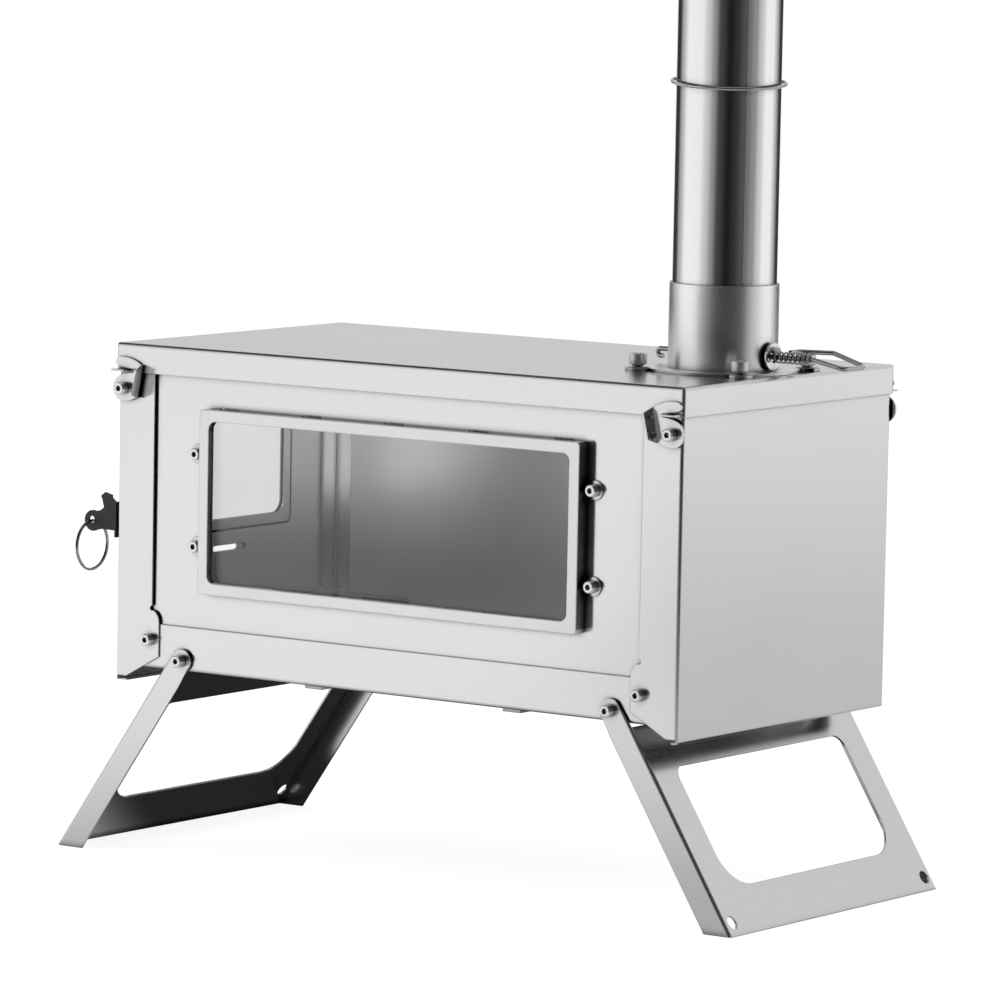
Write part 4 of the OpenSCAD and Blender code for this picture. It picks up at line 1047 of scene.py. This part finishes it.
    def finish(self, piece: bpy.types.Object, name: str) -> bpy.types.Object:
        """Turn the faces outward and smooth the round ones.

        Args:
            piece: The mesh in edit mode.
            name: Its name.

        Returns:
            The same piece, in object mode.
        """
        bpy.ops.mesh.select_all(action="SELECT")
        bpy.ops.mesh.normals_make_consistent(inside=False)
        bpy.ops.object.mode_set(mode="OBJECT")
        bpy.ops.object.shade_smooth_by_angle(angle=self.smooth_angle)
        piece.name = name
        piece.data.name = name
        return piece


@dataclass
class FlueFittings:
    """Knurled thumb nuts, bent damper wire and its spring at the flue collar, in millimetres."""

    bench: Bench
    axis_x: float = 153.0
    stud_out: float = 34.7
    nut_foot: float = 305.4
    nut_profile: Pairs = (
        (0.0, 4.3), (2.06, 4.3), (2.06, 0.0), (3.6, 0.0), (3.6, 0.9), (5.1, 0.9), (5.5, 1.4),
        (5.5, 6.6), (5.1, 7.1), (3.5, 7.1), (3.2, 6.8), (0.0, 6.8),
    )
    knurl_depth: float = 0.36
    knurl_radius: float = 5.5
    knurl_slack: float = 0.1
    knurl_steps: int = 64
    rod_height: float = 312.8
    rod_radius: float = 1.4
    rod_bend: float = 4.0
    rod_corners: tuple[Triple, ...] = (
        (-40.65, 0.0, -4.1), (-43.4, 0.0, -4.1), (-44.775, 0.0, -1.833), (-43.4, 0.0, 0.0),
        (60.5, 0.0, 0.0), (81.4, 0.0, -4.2), (81.4, 23.0, -4.2), (60.0, 23.0, 2.4),
        (40.6, 17.5, 2.4), (40.6, 7.6, 2.4),
    )
    spring_start: float = 34.9
    spring_end: float = 59.6
    spring_turns: float = 8.0
    spring_radius: float = 3.0
    spring_wire: float = 0.55

    def build(self, dresser: Dresser) -> None:
        """Model the fittings and dress them.

        Args:
            dresser: Gives the pieces their finish.
        """
        first = self.thumb_nut()
        for end, across, along in (
            ("front_left", -1.0, -1.0),
            ("front_right", 1.0, -1.0),
            ("rear_left", -1.0, 1.0),
            ("rear_right", 1.0, 1.0),
        ):
            step = Vector((across, along, 0.0)) * self.stud_out * MM
            self.place_nut(first, end, step, dresser)
        bpy.data.objects.remove(first, do_unlink=True)
        self.add_rod(dresser)
        self.add_spring(dresser)

    def thumb_nut(self) -> bpy.types.Object:
        """Turn one nut on the flue axis, then press the knurl into its rim.

        Returns:
            The nut, not yet at a stud.
        """
        foot = Vector((self.axis_x, 0.0, self.nut_foot)) * MM
        profile = [(radius * MM, height * MM) for radius, height in self.nut_profile]
        nut = self.bench.turned("thumb_nut_turned", profile, foot, self.knurl_steps)
        step = math.tau / self.knurl_steps
        for vertex in nut.data.vertices:
            out = vertex.co - foot
            turn = round(math.atan2(out.y, out.x) / step)
            rim = math.hypot(out.x, out.y) > (self.knurl_radius - self.knurl_slack) * MM
            vertex.select = rim and turn % 2 == 1
        bpy.ops.object.mode_set(mode="EDIT")
        share = 1.0 - self.knurl_depth / self.knurl_radius
        bpy.ops.transform.resize(value=(share, share, 1.0), center_override=foot)
        bpy.ops.object.mode_set(mode="OBJECT")
        return nut

    def place_nut(
        self, first: bpy.types.Object, end: str, step: Vector, dresser: Dresser
    ) -> None:
        """Copy the turned nut to one stud.

        Args:
            first: The nut on the flue axis.
            end: Corner of the collar, as in the nut's name.
            step: Way from the flue axis to the stud.
            dresser: Gives the nut its finish.
        """
        nut = self.bench.copy(first, f"knurled_nut_{end}", Matrix.Translation(step))
        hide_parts(f"thumb_nut_{end}")
        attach(nut, f"nut_{end}")
        dresser.dress(nut, KNURLED_STEEL)
        log.info("built %s", nut.name)

    def add_rod(self, dresser: Dresser) -> None:
        """Bend the damper wire: hook at the tip, handle loop at the other end."""
        origin = Vector((self.axis_x, 0.0, self.rod_height))
        path = [(origin + Vector(corner)) * MM for corner in self.rod_corners]
        rod = self.bench.wire("bent_damper_rod", path, self.rod_radius * MM, self.rod_bend * MM)
        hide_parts("damper_rod")
        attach(rod, "damper")
        dresser.dress(rod, WIRE_STEEL)
        log.info("built %s", rod.name)

    def add_spring(self, dresser: Dresser) -> None:
        """Wind the spring that pulls the damper wire tight."""
        middle = self.axis_x + (self.spring_start + self.spring_end) / 2.0
        turn = Matrix.Rotation(math.pi / 2.0, 4, "Y")
        place = Matrix.Translation(Vector((middle, 0.0, self.rod_height)) * MM) @ turn
        pitch = (self.spring_end - self.spring_start) / self.spring_turns
        wire = self.spring_wire * MM
        spring = self.bench.coil(
            "wound_damper_spring",
            self.spring_radius * MM,
            (wire, wire),
            pitch * MM,
            self.spring_turns,
            place,
        )
        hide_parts("damper_spring")
        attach(spring, "damper")
        dresser.dress(spring, WIRE_STEEL)
        log.info("built %s", spring.name)


@dataclass
class LatchHooks:
    """Four swing hooks in millimetres: a slotted plate, with a lip folded along one side."""

    bench: Bench
    pivot: Triple = (193.35, -109.8, 276.55)
    thickness: float = 1.2
    hole_radius: float = 2.25
    hole_sides: int = 32
    fold_angle: float = 77.0
    fold_radius: float = 0.7
    fold_steps: int = 6
    lip_length: float = 6.8
    lip_share: float = 0.74
    curve_shares: tuple[float, ...] = (0.25, 0.5, 0.75, 1.0)
    outline: Pairs = (
        (-12.3, 14.4), (-9.4, 16.1), (-4.7, 17.7), (0.0, 18.3), (3.2, 18.1), (5.4, 17.0),
        (6.2, 15.3), (5.3, 13.6), (3.0, 12.6), (-1.7, 11.9), (-6.3, 11.4), (-7.5, 10.35),
        (-6.4, 9.3), (-3.1, 8.9), (1.2, 8.0), (5.2, 6.0), (7.3, 3.1), (7.9, 0.0), (7.3, -3.1),
        (5.4, -5.8), (2.6, -7.4), (-1.2, -7.6), (-5.0, -6.8), (-8.7, -5.3),
    )

    def build(self, dresser: Dresser) -> None:
        """Model one hook, copy it to the four corners and dress them.

        Args:
            dresser: Gives the hooks their finish.
        """
        first = self.hook()
        for end, across, along in (
            ("front_right", 1.0, 1.0),
            ("front_left", -1.0, 1.0),
            ("rear_right", 1.0, -1.0),
            ("rear_left", -1.0, -1.0),
        ):
            mirror = Matrix.Diagonal((across, along, 1.0, 1.0))
            hook = self.bench.copy(first, f"folded_hook_{end}", mirror)
            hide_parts(f"latch_hook_{end}")
            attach(hook, f"hook_{end}")
            dresser.dress(hook, HOOK_SHEET)
            log.info("built %s", hook.name)
        bpy.data.objects.remove(first, do_unlink=True)

    def curve(self) -> list[Vector]:
        """Curve the plate's outline from corner to corner.

        Returns:
            Its points, in metres.
        """
        origin = Vector(self.pivot)
        points = [Vector((x, z)) for x, z in self.outline]
        smooth = [points[0]]
        for i in range(len(points) - 1):
            a, b = points[max(i - 1, 0)], points[i]
            c, d = points[i + 1], points[min(i + 2, len(points) - 1)]
            for step in self.curve_shares:
                smooth.append(
                    0.5 * (
                        2.0 * b + (c - a) * step + (2.0 * a - 5.0 * b + 4.0 * c - d) * step**2
                        + (3.0 * b - a - 3.0 * c + d) * step**3
                    )
                )
        return [(origin + Vector((p.x, 0.0, p.y))) * MM for p in smooth]

    def hook(self) -> bpy.types.Object:
        """Cut the plate at the front right corner, then fold its lip.

        Returns:
            The hook at that corner.
        """
        rim = self.curve()
        piece = self.bench.trace(rim + rim[:1])
        bpy.ops.mesh.primitive_circle_add(
            vertices=self.hole_sides,
            radius=self.hole_radius * MM,
            location=Vector(self.pivot) * MM,
            rotation=(math.pi / 2.0, 0.0, 0.0),
        )
        bpy.ops.mesh.select_all(action="SELECT")
        bpy.ops.mesh.remove_doubles(threshold=self.bench.merge_reach)
        bpy.ops.mesh.select_all(action="SELECT")
        bpy.ops.mesh.fill(use_beauty=True)
        bpy.ops.mesh.select_all(action="SELECT")
        wall = (0.0, -self.thickness * MM, 0.0)
        bpy.ops.mesh.extrude_region_move(TRANSFORM_OT_translate={"value": wall})
        self.fold_lip(piece, rim[0], rim[-1])
        return self.bench.finish(piece, "folded_hook")

    def fold_lip(self, piece: bpy.types.Object, head: Vector, foot: Vector) -> None:
        """Fold the lip forward along the plate's straight side.

        Args:
            piece: The plate, in edit mode.
            head: Upper end of the straight side.
            foot: Lower end of the straight side.
        """
        middle = (head + foot) / 2.0 + Vector((0.0, -self.thickness * MM / 2.0, 0.0))
        bpy.ops.mesh.select_all(action="DESELECT")
        bpy.ops.object.mode_set(mode="OBJECT")
        nearest = min(piece.data.polygons, key=lambda face: (face.center - middle).length)
        nearest.select = True
        bpy.ops.object.mode_set(mode="EDIT")
        bpy.ops.mesh.select_mode(type="FACE")
        forward = Vector((0.0, -1.0, 0.0))
        away = (foot - head).normalized().cross(forward).normalized()
        if away.x > 0.0:
            away = -away
        turn = math.radians(self.fold_angle)
        reach = (self.thickness / 2.0 + self.fold_radius) * MM
        centre = middle + forward * reach
        axis = away.cross(forward)
        bpy.ops.mesh.spin(steps=self.fold_steps, angle=-turn, center=centre, axis=axis)
        outward = away * math.cos(turn) + forward * math.sin(turn)
        length = outward * self.lip_length * MM
        bpy.ops.mesh.extrude_region_move(TRANSFORM_OT_translate={"value": length})
        end = centre + (away * math.sin(turn) - forward * math.cos(turn)) * reach + length
        bpy.ops.transform.resize(value=(1.0, 1.0, self.lip_share), center_override=end)
        bpy.ops.mesh.select_mode(type="VERT")


@dataclass
class LatchRing:
    """Split ring of two turns in the eye of the latch lever, in millimetres."""

    bench: Bench
    centre: Triple = (-232.71, -90.0, 178.94)
    middle_radius: float = 14.6
    radial_half: float = 0.75
    along_half: float = 0.45
    pitch: float = 0.92
    turns: float = 1.9

    def build(self, dresser: Dresser) -> None:
        """Wind the ring and dress it.

        Args:
            dresser: Gives the ring its finish.
        """
        turn = Matrix.Rotation(math.pi / 2.0, 4, "Y")
        place = Matrix.Translation(Vector(self.centre) * MM) @ turn
        ring = self.bench.coil(
            "wound_split_ring",
            self.middle_radius * MM,
            (self.radial_half * MM, self.along_half * MM),
            self.pitch * MM,
            self.turns,
            place,
        )
        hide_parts("split_ring")
        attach(ring, "ring")
        dresser.dress(ring, WIRE_STEEL)
        log.info("built %s", ring.name)


def main() -> None:
    """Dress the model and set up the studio."""
    logging.basicConfig(level=logging.INFO, format="%(name)s: %(message)s")
    dresser = Dresser()
    dresser.dress_nodes()
    bench = Bench()
    FlueFittings(bench).build(dresser)
    LatchHooks(bench).build(dresser)
    LatchRing(bench).build(dresser)
    Studio().build()


if __name__ == "__main__":
    main()
